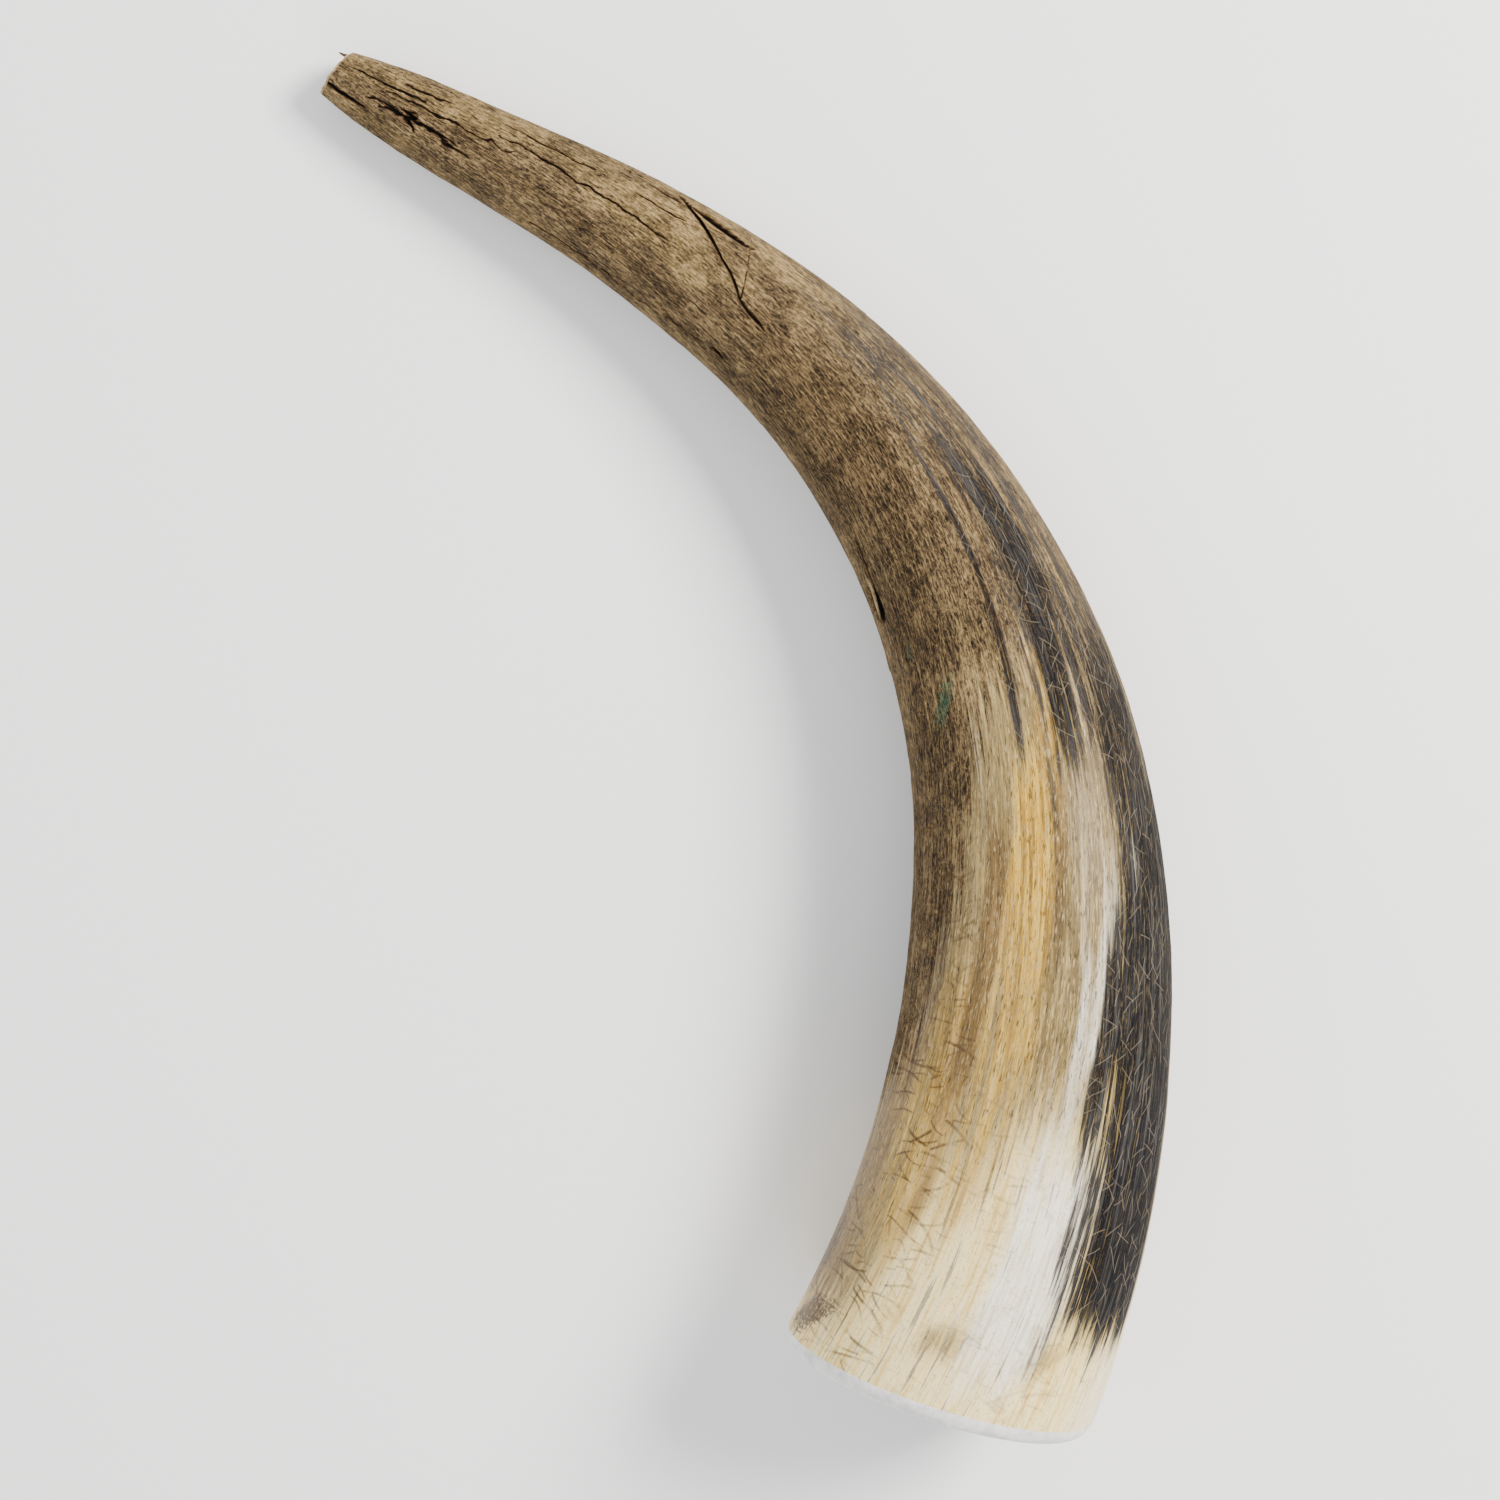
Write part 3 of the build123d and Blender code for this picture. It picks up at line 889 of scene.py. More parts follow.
@dataclass
class MouthCone(GrowthCone):
    """The oldest cone: the solid tip, sawn off at the mouth and drilled."""

    edge_round: float = 0.35
    edge_rows: int = 4
    nick_depth: float = 0.5
    nick_limits: tuple[float, float] = (-0.15, 0.6)

    def runs(self) -> list[Run]:
        """Skin to the first lip, socket, bore back to the mouth, and the mouth's sawn face."""
        angle = self.angles()
        mouth, lip = self.form.mouth_cut(angle), self.skin.lip(0, angle)
        rim = np.radians(angle)
        around = np.stack([np.cos(rim) * 3, np.sin(rim) * 3, np.zeros_like(rim)], -1)
        nicks = layered_noise(around, SEED + 70)
        mouth = mouth + np.clip(self.nick_depth * nicks, *self.nick_limits)
        turn = np.linspace(0, np.pi / 2, self.edge_rows)[:, None]
        rounded_along = mouth + self.edge_round * (1 - np.sin(turn))
        skin_reach = self.skin.reach(rounded_along, np.broadcast_to(angle, rounded_along.shape))
        rounded_reach = skin_reach - self.edge_round * (1 - np.cos(turn))
        rounded = Run(rounded_along[::-1], rounded_reach[::-1], Surface.TORN)
        inner_end = np.full_like(angle, self.skin.lips[0] - self.tongues[0])
        bore = self.lining_run(inner_end, mouth, self.inner_rows)
        return [rounded, self.skin_run(mouth + self.edge_round * 1.5, lip), *self.socket_runs(lip), bore]


@dataclass
class BellCone(GrowthCone):
    """The youngest cone: polished, lining the hollow, with the bell's rim ground round."""

    round_rows: int = 14
    flat_rows: int = 5
    hollow_rows: int = 100
    bevel_run: float = 0.6

    def runs(self) -> list[Run]:
        """Skin to the rim, the ground rounding, the flat, the bevel, the hollow and the tongue."""
        angle, form = self.angles(), self.form
        lip, cut = self.skin.lip(2, angle), form.bell_cut(angle)
        shoulder = cut - form.rim_round
        turn = np.linspace(0, np.pi / 2, self.round_rows)[1:, None]
        round_along = shoulder + form.rim_round * np.sin(turn)
        grown = self.skin.reach(shoulder[None, :], angle[None, :])
        round_reach = grown - form.rim_round * (1 - np.cos(turn))
        outer_edge = round_reach[-1]
        inner_edge = form.hollow(cut) + form.rim_bevel
        share = np.linspace(0, 1, self.flat_rows)[1:, None]
        flat_reach = outer_edge * (1 - share) + inner_edge * share
        flat_along = np.broadcast_to(cut, flat_reach.shape)
        bevel_end = cut - form.rim_bevel
        bevel = Run(bevel_end[None, :], form.hollow(bevel_end)[None, :], Surface.GROUND)
        inner_start = np.full_like(angle, self.skin.lips[2] - self.tongues[2])
        return [
            self.skin_run(lip, shoulder),
            Run(round_along, round_reach, Surface.GROUND),
            Run(flat_along, flat_reach, Surface.GROUND),
            bevel,
            self.lining_run(bevel_end - self.bevel_run, inner_start, self.hollow_rows),
            *self.tongue_runs(lip),
        ]


def capped_tube(rings: Array) -> tuple[Array, list]:
    """Points and faces of a closed tube: rings joined by quads, each end closed to its middle."""
    rows, columns, _ = rings.shape
    first, last = rings[0].mean(0), rings[-1].mean(0)
    points = np.vstack([rings.reshape(-1, 3), first, last])
    faces = closed_faces(rows, columns, rows_close=False).tolist()
    pole, base = rows * columns, (rows - 1) * columns
    faces += [[pole, i, (i + 1) % columns] for i in range(columns)]
    faces += [[pole + 1, base + (i + 1) % columns, base + i] for i in range(columns)]
    return points, faces


@dataclass
class SplitFlake(HornPart):
    """The wedge of skin between the split's two cracks, its point standing up a little."""

    name: str = "split_flake"
    thickness: float = 1.5
    lift: float = 0.45
    span: tuple[float, float] = (0.04, 1.03)
    widest_gap: float = 0.3
    corner_round: float = 0.18
    far_raggedness: float = 0.35
    rows: int = 90
    columns: int = 50

    def build(self) -> bpy.types.Object:
        """A slab that follows the skin.

        A row runs from the lower edge to the upper edge on top and back underneath; rows go from
        the V's point to its broken far end.
        """
        split, form = self.skin.split, self.form
        lower, upper = np.array(split.lower), np.array(split.upper)
        way = np.linspace(*self.span, self.rows)[:, None]
        low_share = np.linspace(0, 1, len(lower))
        low = np.stack([np.interp(way[:, 0], low_share, lower[:, i]) for i in range(2)], -1)[:, None, :]
        high = (upper[0] + (upper[1] - upper[0]) * way)[:, None, :]
        half = self.columns // 2
        across = np.concatenate([np.linspace(0, 1, half), np.linspace(1, 0, half)])[None, :, None]
        spread = form.radius(low[..., 0]) * np.radians(high[..., 1] - low[..., 1])
        width = np.hypot(high[..., 0] - low[..., 0], spread)
        open_share = (1 - 0.6 * ease(way, 0.25, 0.5)) * (1 - ease(way, 0.9, 1.0))
        below = split.lower_gap * open_share / np.maximum(width, 0.5)
        below = np.minimum(below, self.widest_gap)[..., None]
        bulge = np.sin(np.pi * np.clip(way, 0, 1)) ** 0.5
        above = split.upper_gap * bulge / np.maximum(width, 0.5)
        above = np.minimum(above, self.widest_gap)[..., None]
        place = low + (high - low) * (below + (1 - below - above) * across)
        along, angle = place[..., 0], place[..., 1]
        ragged = self.skin.noise(along, angle, 1.5, 1.5, 30)
        along = along + self.far_raggedness * ragged * ease(way, 0.8, 1.0)
        under = (np.arange(self.columns) >= half)[None, :]
        rise = self.lift * (1 - way) ** 2 + 0.12 * ragged * ease(way, 0.85, 1.0)
        thick = self.thickness * np.minimum(1, np.maximum(width, 0.2) / 2.0)
        edge = ease(np.minimum(across, 1 - across)[..., 0], 0.0, 0.06)
        top = form.radius(along) + self.skin.grown(along, angle) + rise - self.corner_round * (1 - edge)
        reach = np.where(under, top - thick, top)
        points, faces = capped_tube(form.place(along, angle, reach))
        piece = new_piece(self.name, points, faces, np.full(len(faces), int(Surface.SKIN)))
        ends = [0, -1]
        marks_along = np.concatenate([along.reshape(-1), along[ends].mean(1)])
        marks_angle = np.concatenate([angle.reshape(-1), angle[ends].mean(1)])
        # Painted shade: 0.8 over the whole underside, up to 0.7 on top towards the long edges, 0.3 at the
        # V's point and 0.6 at the broken far end.
        shade = np.broadcast_to(np.where(under, 0.8, 0.7 * (1 - edge)), along.shape).reshape(-1)
        self.mark(piece, marks_along, marks_angle, np.concatenate([shade, [0.3, 0.6]]))
        return piece


@dataclass
class Sliver(HornPart):
    """A thin splinter that follows the skin from one place to another.

    Its section is a flat oval; its width swells to the middle of its length, its root stays
    broad and its free end comes to a point.
    """

    start: tuple[float, float] = (0.0, 0.0)
    end: tuple[float, float] = (0.0, 0.0)
    width: float = 1.2
    thickness: float = 0.8
    sink: float = 0.0
    curl: float = 0.4
    surface: Surface = Surface.TORN
    tip_darkening: float = 0.0
    raggedness: float = 0.1
    rows: int = 40
    columns: int = 16

    def build(self) -> bpy.types.Object:
        """Ovals along the skin: half width times cosine sideways, half thickness times sine out."""
        way = np.linspace(0, 1, self.rows)[:, None]
        turn = np.linspace(0, 2 * np.pi, self.columns, endpoint=False)[None, :]
        along = self.start[0] + (self.end[0] - self.start[0]) * way
        angle = self.start[1] + (self.end[1] - self.start[1]) * way
        taper = np.sqrt(np.clip(1 - way**2.2, 0.002, 1))
        facing = np.sign(self.start[0] - self.end[0])
        sideways = facing * self.width / 2 * taper * np.cos(turn)
        outwards = self.thickness / 2 * taper * np.sin(turn)
        around = angle + np.degrees(turn) * 0.2
        ragged = self.raggedness * self.skin.noise(along + turn * 0, around, 1.5, 3.0, 31)
        radius = self.form.radius(np.maximum(along, 0))
        reach = radius - self.sink + self.curl * way**2 + outwards + ragged
        angles = angle + np.degrees(sideways / radius)
        alongs = np.broadcast_to(along, reach.shape)
        points, faces = capped_tube(self.form.place(alongs, angles, reach))
        piece = new_piece(self.name, points, faces, np.full(len(faces), int(self.surface)))
        marks_along = np.concatenate([alongs.reshape(-1), alongs[[0, -1]].mean(1)])
        marks_angle = np.concatenate([angles.reshape(-1), angles[[0, -1]].mean(1)])
        # The free end is made darker, by tip_darkening.
        shade = np.broadcast_to(self.tip_darkening * ease(way, 0.5, 1.0), reach.shape).reshape(-1)
        self.mark(piece, marks_along, marks_angle, np.concatenate([shade, [0.0, self.tip_darkening]]))
        return piece


# ---------------------------------------------------------------- finishes


def new_material(name: str) -> tuple[bpy.types.Material, bpy.types.NodeTree]:
    """An empty material and its node tree."""
    material = bpy.data.materials.new(name)
    material.use_nodes = True
    material.node_tree.nodes.clear()
    return material, material.node_tree


def add(
    tree: bpy.types.NodeTree, kind: str, inputs: dict | None = None, **settings: Any
) -> bpy.types.Node:
    """Adds a node with its settings, and fills its inputs with values or links.

    A node given as a value is linked from its first output.

    Args:
        tree: The material's node tree.
        kind: The node's type name, without "ShaderNode".
        inputs: Value, output socket or node for each input, by name or number.
        settings: The node's own properties.

    Returns:
        The new node.
    """
    made = tree.nodes.new("ShaderNode" + kind)
    for key, value in settings.items():
        setattr(made, key, value)
    for key, value in (inputs or {}).items():
        if isinstance(value, bpy.types.Node):
            value = value.outputs[0]
        if isinstance(value, bpy.types.NodeSocket):
            tree.links.new(value, made.inputs[key])
        else:
            made.inputs[key].default_value = value
    return made


@dataclass(frozen=True)
class Grain:
    """A noise drawn along the horn's grain, with its lumps' real size in millimetres.

    slope winds it round the horn, as millimetres round for each one along; low and high are the
    noise values that become 0 and 1.
    """

    across: float
    length: float
    detail: float = 3.0
    rough: float = 0.55
    slope: float = 0.0
    low: float = 0.3
    high: float = 0.7
    cloth: Cloth = Cloth.CONE

    def lay(self, tree: bpy.types.NodeTree) -> Wire:
        """Adds the noise and returns its value from 0 to 1."""
        grain = add(tree, "Attribute", attribute_name=self.cloth.value).outputs["Vector"]
        if self.slope:
            parts = add(tree, "SeparateXYZ", {0: grain})
            winding = self.slope / (Skin.barrel * MM)
            turn = add(tree, "Math", {0: parts.outputs[2], 1: winding}, operation="MULTIPLY")
            grain = add(tree, "VectorRotate", {"Vector": grain, "Angle": turn}, rotation_type="Z_AXIS")
        scale = (1 / (self.across * MM), 1 / (self.across * MM), 1 / (self.length * MM))
        scaled = add(tree, "VectorMath", {0: grain, 1: scale}, operation="MULTIPLY")
        pattern = {"Vector": scaled, "Scale": 1.0, "Detail": self.detail, "Roughness": self.rough}
        noise = add(tree, "TexNoise", pattern)
        limits = {"Value": noise, "From Min": self.low, "From Max": self.high}
        return add(tree, "MapRange", limits)


@dataclass(frozen=True)
class Scratches:
    """Single curved scratches, one in each cell of a random net, in millimetres and degrees.

    heading is the usual way from round the horn towards the bell and spread is how far either
    side of it they turn; bend is how far a scratch's ends leave its middle line.
    """

    cell: float
    length: float
    width: float
    heading: float
    spread: float
    bend: float = 1.0
    seed: float = 0.0

    def lay(self, tree: bpy.types.NodeTree) -> Wire:
        """Adds the scratches and returns 1 on them and 0 off them.

        In each cell the place, less the cell's own point, is turned by a random angle to x along
        and y across; the scratch is where y is near bend times x squared and x is within it.
        """
        sheet = add(tree, "Attribute", attribute_name=Cloth.SHEET.value).outputs["Vector"]
        size = self.cell * MM
        shift = (self.seed, self.seed * 1.7, 0.0)
        scale = (1 / size, 1 / size, 0.0)
        net = add(tree, "VectorMath", {0: sheet, 1: scale, 2: shift}, operation="MULTIPLY_ADD")
        cells = add(tree, "TexVoronoi", {"Vector": net, "Scale": 1.0}, voronoi_dimensions="2D")
        local = add(tree, "VectorMath", {0: net, 1: cells.outputs["Position"]}, operation="SUBTRACT")
        chance = add(tree, "SeparateXYZ", {0: cells.outputs["Color"]})
        spread, heading = math.radians(self.spread), math.radians(self.heading)
        turning = {0: chance.outputs[0], 1: 2 * spread, 2: -heading - spread}
        turn = add(tree, "Math", turning, operation="MULTIPLY_ADD")
        turned = add(tree, "VectorRotate", {"Vector": local, "Angle": turn}, rotation_type="Z_AXIS")
        parts = add(tree, "SeparateXYZ", {0: turned})
        run, across = parts.outputs[0], parts.outputs[1]
        squared = add(tree, "Math", {0: run, 1: run}, operation="MULTIPLY")
        bending = {0: chance.outputs[1], 1: 2 * self.bend, 2: -self.bend}
        curve = add(tree, "Math", bending, operation="MULTIPLY_ADD")
        bowed = add(tree, "Math", {0: squared, 1: curve, 2: across}, operation="MULTIPLY_ADD")
        off = add(tree, "Math", {0: bowed}, operation="ABSOLUTE")
        half = self.width / 2 / self.cell
        line = add(tree, "MapRange", {"Value": off, "From Min": half * 1.5, "From Max": half * 0.4})
        reach = self.length / 2 / self.cell
        far = add(tree, "Math", {0: run}, operation="ABSOLUTE")
        ends = add(tree, "MapRange", {"Value": far, "From Min": reach, "From Max": reach * 0.5})
        drawn = add(tree, "Math", {0: line, 1: ends}, operation="MULTIPLY")
        # A few cells keep no scratch and a third of them a faint one.
        kept = add(tree, "MapRange", {"Value": chance.outputs[2], "From Min": 0.15, "From Max": 0.5})
        return add(tree, "Math", {0: drawn, 1: kept}, operation="MULTIPLY")


@dataclass(frozen=True)
class Layer:
    """One pigment over the horn: its tones, the grain that mottles it and the one that frays it.

    breakup is how far the fraying grain moves the edge, crisp half the edge's softness, cover the
    most that shows, and hides how much of the marks on lower layers it covers up.
    """

    pigment: Pigment
    dark: str
    middle: str
    light: str
    mottle: str
    fray: str
    breakup: float = 0.8
    crisp: float = 0.12
    cover: float = 1.0
    hides: float = 0.0

    def lay(self, tree: bpy.types.NodeTree, under: Wire, grains: dict) -> tuple[Wire, Wire]:
        """Lays the pigment over the colour below.

        The stored amount, plus or minus the fraying grain times breakup, is cut to a crisp edge.

        Returns:
            The new colour and how much of the pigment shows.
        """
        amount = add(tree, "Attribute", attribute_name=self.pigment.value)
        fraying = {0: grains[self.fray], 1: self.breakup, 2: -self.breakup / 2}
        centred = add(tree, "Math", fraying, operation="MULTIPLY_ADD")
        frayed = add(tree, "Math", {0: amount.outputs["Fac"], 1: centred}, operation="ADD")
        limits = {"Value": frayed, "To Max": self.cover}
        limits |= {"From Min": 0.5 - self.crisp, "From Max": 0.5 + self.crisp}
        shown = add(tree, "MapRange", limits, interpolation_type="SMOOTHSTEP")
        tone = three_tones(tree, grains[self.mottle], (self.dark, self.middle, self.light))
        return mix(tree, shown, under, tone), shown


def mix(tree: bpy.types.NodeTree, share: Wire, under: Any, over: Any) -> Wire:
    """The colour that goes from under to over as share goes from 0 to 1."""
    return add(tree, "Mix", {"Factor": share, 6: under, 7: over}, data_type="RGBA").outputs[2]


def three_tones(tree: bpy.types.NodeTree, value: Wire, tones: tuple[str, str, str]) -> Wire:
    """A colour that goes from the first tone at 0 through the second at a half to the third at 1."""
    dark, middle, light = (linear_colour(tone) for tone in tones)
    first = add(tree, "MapRange", {"Value": value, "From Max": 0.5})
    second = add(tree, "MapRange", {"Value": value, "From Min": 0.5})
    return mix(tree, second, mix(tree, first, dark, middle), light)


@dataclass(frozen=True)
class Mark:
    """Thin strokes of one colour, drawn by a grain and kept to where a pigment shows."""

    grain: str
    tone: str
    strength: float
    on: Pigment

    def lay(self, tree: bpy.types.NodeTree, under: Wire, grains: dict, shown: dict) -> Wire:
        """Lays the strokes over the colour below, as grain times strength times pigment shown."""
        drawn = add(tree, "Math", {0: grains[self.grain], 1: self.strength}, operation="MULTIPLY")
        kept = add(tree, "Math", {0: drawn, 1: shown[self.on]}, operation="MULTIPLY")
        return mix(tree, kept, under, linear_colour(self.tone))


@dataclass(frozen=True)
class HornSkinFinish:
    """Keratin, from weathered bark to polished horn.

    Bark is matt and fibrous, with tan needles over brown; polished horn is cream with a soft
    gloss, and its pigment shows as streaks along the grain.
    """

    name: str = "natural_horn_keratin"
    cream: tuple[str, str, str] = ("#D8B76C", "#F3DA98", "#FDEDBC")
    polished_roughness: float = 0.3
    bark_roughness: float = 0.76
    ior: float = 1.54
    fibre_height: float = 0.22
    polished_sheen: float = 0.2
    bark_sheen: float = 0.08

    def grains(self, tree: bpy.types.NodeTree) -> dict:
        """The patterns that the layers share, each laid once, and the bark's mixed value."""
        kinds = {
            "strand": Grain(1.9, 46.0, 4.0, 0.65, low=0.32, high=0.68, cloth=Cloth.BARREL),
            "streak": Grain(0.8, 26.0, 4.0, 0.65, low=0.36, high=0.64, cloth=Cloth.BARREL),
            "fibre": Grain(0.42, 2.6, 4.0, 0.7, low=0.36, high=0.64),
            "blotch": Grain(7.0, 9.0, 8.0, 0.72, low=0.38, high=0.62),
            "speck": Grain(0.55, 0.75, 3.0, 0.7, low=0.36, high=0.64),
            "slit": Grain(0.4, 3.0, 2.0, 0.5, 0.03, low=0.58, high=0.66),
            "needle_with": Grain(0.3, 3.2, 2.0, 0.5, 0.05, low=0.56, high=0.68),
            "needle_left": Scratches(2.2, 3.6, 0.17, 70.0, 26.0, 0.12, 0.0),
            "needle_right": Scratches(2.8, 4.4, 0.17, 108.0, 26.0, 0.12, 7.0),
            "needle_round": Scratches(4.6, 5.0, 0.18, 20.0, 40.0, 0.2, 3.0),
            "stroke_left": Scratches(8.5, 17.0, 0.75, 24.0, 22.0, 0.5, 11.0),
            "stroke_right": Scratches(7.0, 13.0, 0.6, -22.0, 26.0, 0.6, 5.0),
            "stroke_steep": Scratches(11.0, 20.0, 0.5, 58.0, 20.0, 0.4, 17.0),
            "stroke_short": Scratches(4.6, 8.0, 0.5, 8.0, 40.0, 0.7, 23.0),
            "hair_left": Scratches(4.2, 8.0, 0.18, 60.0, 32.0, 0.3, 31.0),
            "hair_right": Scratches(3.4, 6.0, 0.18, 120.0, 30.0, 0.3, 37.0),
        }
        laid = {key: kind.lay(tree) for key, kind in kinds.items()}
        coarse = add(tree, "Math", {0: laid["blotch"], 1: 0.36, 2: -0.2}, operation="MULTIPLY_ADD")
        finer = add(tree, "Math", {0: laid["fibre"], 1: 0.62, 2: coarse}, operation="MULTIPLY_ADD")
        laid["bark"] = add(tree, "Math", {0: laid["speck"], 1: 0.46, 2: finer}, operation="MULTIPLY_ADD")
        return laid

    def layers(self) -> tuple[Layer, ...]:
        """The pigments from the bottom up."""
        return (
            Layer(Pigment.TAN, "#2A1F10", "#66532F", "#AC9159", "streak", "streak", 0.7, 0.4, 0.95),
            Layer(Pigment.HONEY, "#7A5A1C", "#C2952F", "#F0C95A", "streak", "strand", 0.8, 0.35, 0.85),
            # Milky horn, and the painted highlight on the bell's upper side.
            Layer(Pigment.MILK_AND_HIGHLIGHT, "#C8C2B0", "#EFE9D6", "#FFFBEE", "streak", "strand", 0.6, 0.45, 0.9),
            # Brown streaks, and painted shade along the inner side of the bend.
            Layer(Pigment.UMBER_AND_SHADE, "#35240F", "#60461F", "#94733E", "streak", "streak", 0.6, 0.45, 0.85),
            Layer(Pigment.BARK, "#0E0A07", "#544431", "#A08860", "bark", "streak", 0.8, 0.28, hides=1.0),
            Layer(Pigment.BLEACH, "#2C2317", "#6F5C3A", "#B2966A", "bark", "blotch", 0.9, 0.35, 0.8),
            Layer(Pigment.DIRT, "#0D0906", "#33271A", "#685339", "bark", "streak", 0.9, 0.35, 0.9),
            Layer(Pigment.SOOT, "#08080A", "#141416", "#42403F", "streak", "streak", 0.6, 0.26, hides=0.75),
            Layer(Pigment.STAIN, "#100903", "#2C1A0A", "#6E4A20", "bark", "speck", 0.9, 0.35, 0.92),
            Layer(Pigment.GREEN, "#1B3528", "#2C4E3D", "#55704F", "bark", "speck", 0.7, 0.2, 0.7),
        )

    def marks(self) -> tuple[Mark, ...]:
        """The thin marks over the pigments, in the order they are laid."""
        return (
            Mark("slit", "#0B0805", 0.85, Pigment.BARK),
            Mark("needle_with", "#A58A5E", 0.45, Pigment.BARK),
            Mark("slit", "#22170B", 0.75, Pigment.TAN),
            Mark("needle_with", "#D0B884", 0.5, Pigment.TAN),
            Mark("needle_left", "#A58A5E", 0.3, Pigment.BARK),
            Mark("needle_right", "#A58A5E", 0.3, Pigment.BARK),
            Mark("needle_round", "#A58A5E", 0.22, Pigment.BARK),
            Mark("stroke_left", "#3E260D", 0.8, Pigment.SCUFF),
            Mark("stroke_right", "#3E260D", 0.8, Pigment.SCUFF),
            Mark("stroke_steep", "#5A3D18", 0.5, Pigment.SCUFF),
            Mark("stroke_short", "#4A2F12", 0.7, Pigment.SCUFF),
            Mark("hair_left", "#9A8C76", 0.35, Pigment.SOOT),
            Mark("hair_right", "#9A8C76", 0.35, Pigment.SOOT),
        )

    def paint_crack_shade(self, tree: bpy.types.NodeTree, colour: Wire) -> Wire:
        """Paints shade into the cracks, the notch, the pocket and freed pieces: brown where faint, nearly
        black where full.
        """
        crack = add(tree, "Attribute", attribute_name=Pigment.CRACK_SHADE.value).outputs["Fac"]
        depth = add(tree, "MapRange", {"Value": crack, "From Min": 0.16, "From Max": 0.55})
        foot = add(tree, "MapRange", {"Value": crack, "From Min": 0.3, "From Max": 0.75})
        shade_tone = mix(tree, foot, linear_colour("#4A301A"), linear_colour("#080503"))
        return mix(tree, depth, colour, shade_tone)

    def build(self) -> bpy.types.Material:
        """Makes the material."""
        material, tree = new_material(self.name)
        grains = self.grains(tree)
        colour = three_tones(tree, grains["streak"], self.cream)
        shown = {}
        for layer in self.layers():
            colour, amount = layer.lay(tree, colour, grains)
            if layer.hides:
                bare = add(tree, "Math", {0: amount, 1: -layer.hides, 2: 1.0}, operation="MULTIPLY_ADD")
                for under, value in shown.items():
                    shown[under] = add(tree, "Math", {0: value, 1: bare}, operation="MULTIPLY")
            shown[layer.pigment] = amount
        bark = add(tree, "Math", {0: shown[Pigment.BARK], 1: shown[Pigment.SOOT]}, operation="MAXIMUM")
        scuff = add(tree, "Attribute", attribute_name=Pigment.SCUFF.value).outputs["Fac"]
        patches = add(tree, "MapRange", {"Value": grains["blotch"], "From Min": 0.2, "From Max": 0.6})
        shown[Pigment.SCUFF] = add(tree, "Math", {0: scuff, 1: patches}, operation="MULTIPLY")
        for mark in self.marks():
            colour = mark.lay(tree, colour, grains, shown)
        # Painted shade in the cracks goes over all the pigments and marks.
        colour = self.paint_crack_shade(tree, colour)
        # Roughness follows the bark and the soot, and is broken by the fibres.
        gloss = {"Value": bark, "To Min": self.polished_roughness, "To Max": self.bark_roughness}
        rough = add(tree, "MapRange", gloss)
        broken = {0: grains["streak"], 1: 0.12, 2: rough}
        grit = add(tree, "Math", broken, operation="MULTIPLY_ADD")
        # Fibre relief is strong on bark and faint on polished horn.
        fibres = {0: grains["needle_with"], 1: 0.6, 2: grains["bark"]}
        piled = add(tree, "Math", fibres, operation="MULTIPLY_ADD")
        crossed = add(tree, "Math", {0: grains["needle_left"], 1: 0.4, 2: piled}, operation="MULTIPLY_ADD")
        strength = add(tree, "MapRange", {"Value": bark, "To Min": 0.05, "To Max": 1.0})
        height = add(tree, "Math", {0: crossed, 1: strength}, operation="MULTIPLY")
        bump = add(tree, "Bump", {"Height": height, "Distance": self.fibre_height * MM, "Strength": 0.9})
        dulling = {"Value": bark, "To Min": self.polished_sheen, "To Max": self.bark_sheen}
        sheen = add(tree, "MapRange", dulling)
        shader = {"Base Color": colour, "Roughness": grit, "IOR": self.ior, "Normal": bump}
        shader["Specular IOR Level"] = sheen
        surface = add(tree, "BsdfPrincipled", shader)
        add(tree, "OutputMaterial", {"Surface": surface})
        return material


@dataclass(frozen=True)
class PlainHornFinish:
    """Cut, ground or torn horn: one mottled tone with fine marks, and no polish.

    Ground horn is frosted and chalky, the hollow is smoother and browner with depth, and torn
    horn is pale and splintery.
    """

    name: str
    dark: str
    light: str
    across: float
    length: float
    roughness: float
    height: float
    ior: float = 1.54
    stain: str = "#2A1D12"
    deep: tuple[float, float] | None = None
    deep_colour: str = "#3A2A1A"

    def build(self) -> bpy.types.Material:
        """Makes the material."""
        material, tree = new_material(self.name)
        mottle = Grain(self.across, self.length, 4.0, 0.65).lay(tree)
        fine = Grain(0.5, self.length / 3, 3.0, 0.6).lay(tree)
        colour = mix(tree, mottle, linear_colour(self.dark), linear_colour(self.light))
        if self.deep:
            grain = add(tree, "Attribute", attribute_name=Cloth.BARREL.value).outputs["Vector"]
            along = add(tree, "SeparateXYZ", {0: grain}).outputs[2]
            fade = {"Value": along, "From Min": self.deep[1] * MM, "From Max": self.deep[0] * MM}
            depth = add(tree, "MapRange", fade, interpolation_type="SMOOTHSTEP")
            colour = mix(tree, depth, colour, linear_colour(self.deep_colour))
        # Dirt, and the painted crack shade, are both laid in the stain colour.
        for pigment in (Pigment.DIRT, Pigment.CRACK_SHADE):
            stained = add(tree, "Attribute", attribute_name=pigment.value)
            frayed = add(tree, "Math", {0: stained.outputs["Fac"], 1: fine}, operation="MULTIPLY")
            shown = add(tree, "MapRange", {"Value": frayed, "From Min": 0.25, "From Max": 0.55})
            colour = mix(tree, shown, colour, linear_colour(self.stain))
        grit = add(tree, "Math", {0: fine, 1: 0.1, 2: self.roughness}, operation="MULTIPLY_ADD")
        bump = add(tree, "Bump", {"Height": fine, "Distance": self.height * MM, "Strength": 0.8})
        shader = {"Base Color": colour, "Roughness": grit, "IOR": self.ior, "Normal": bump}
        surface = add(tree, "BsdfPrincipled", shader)
        add(tree, "OutputMaterial", {"Surface": surface})
        return material


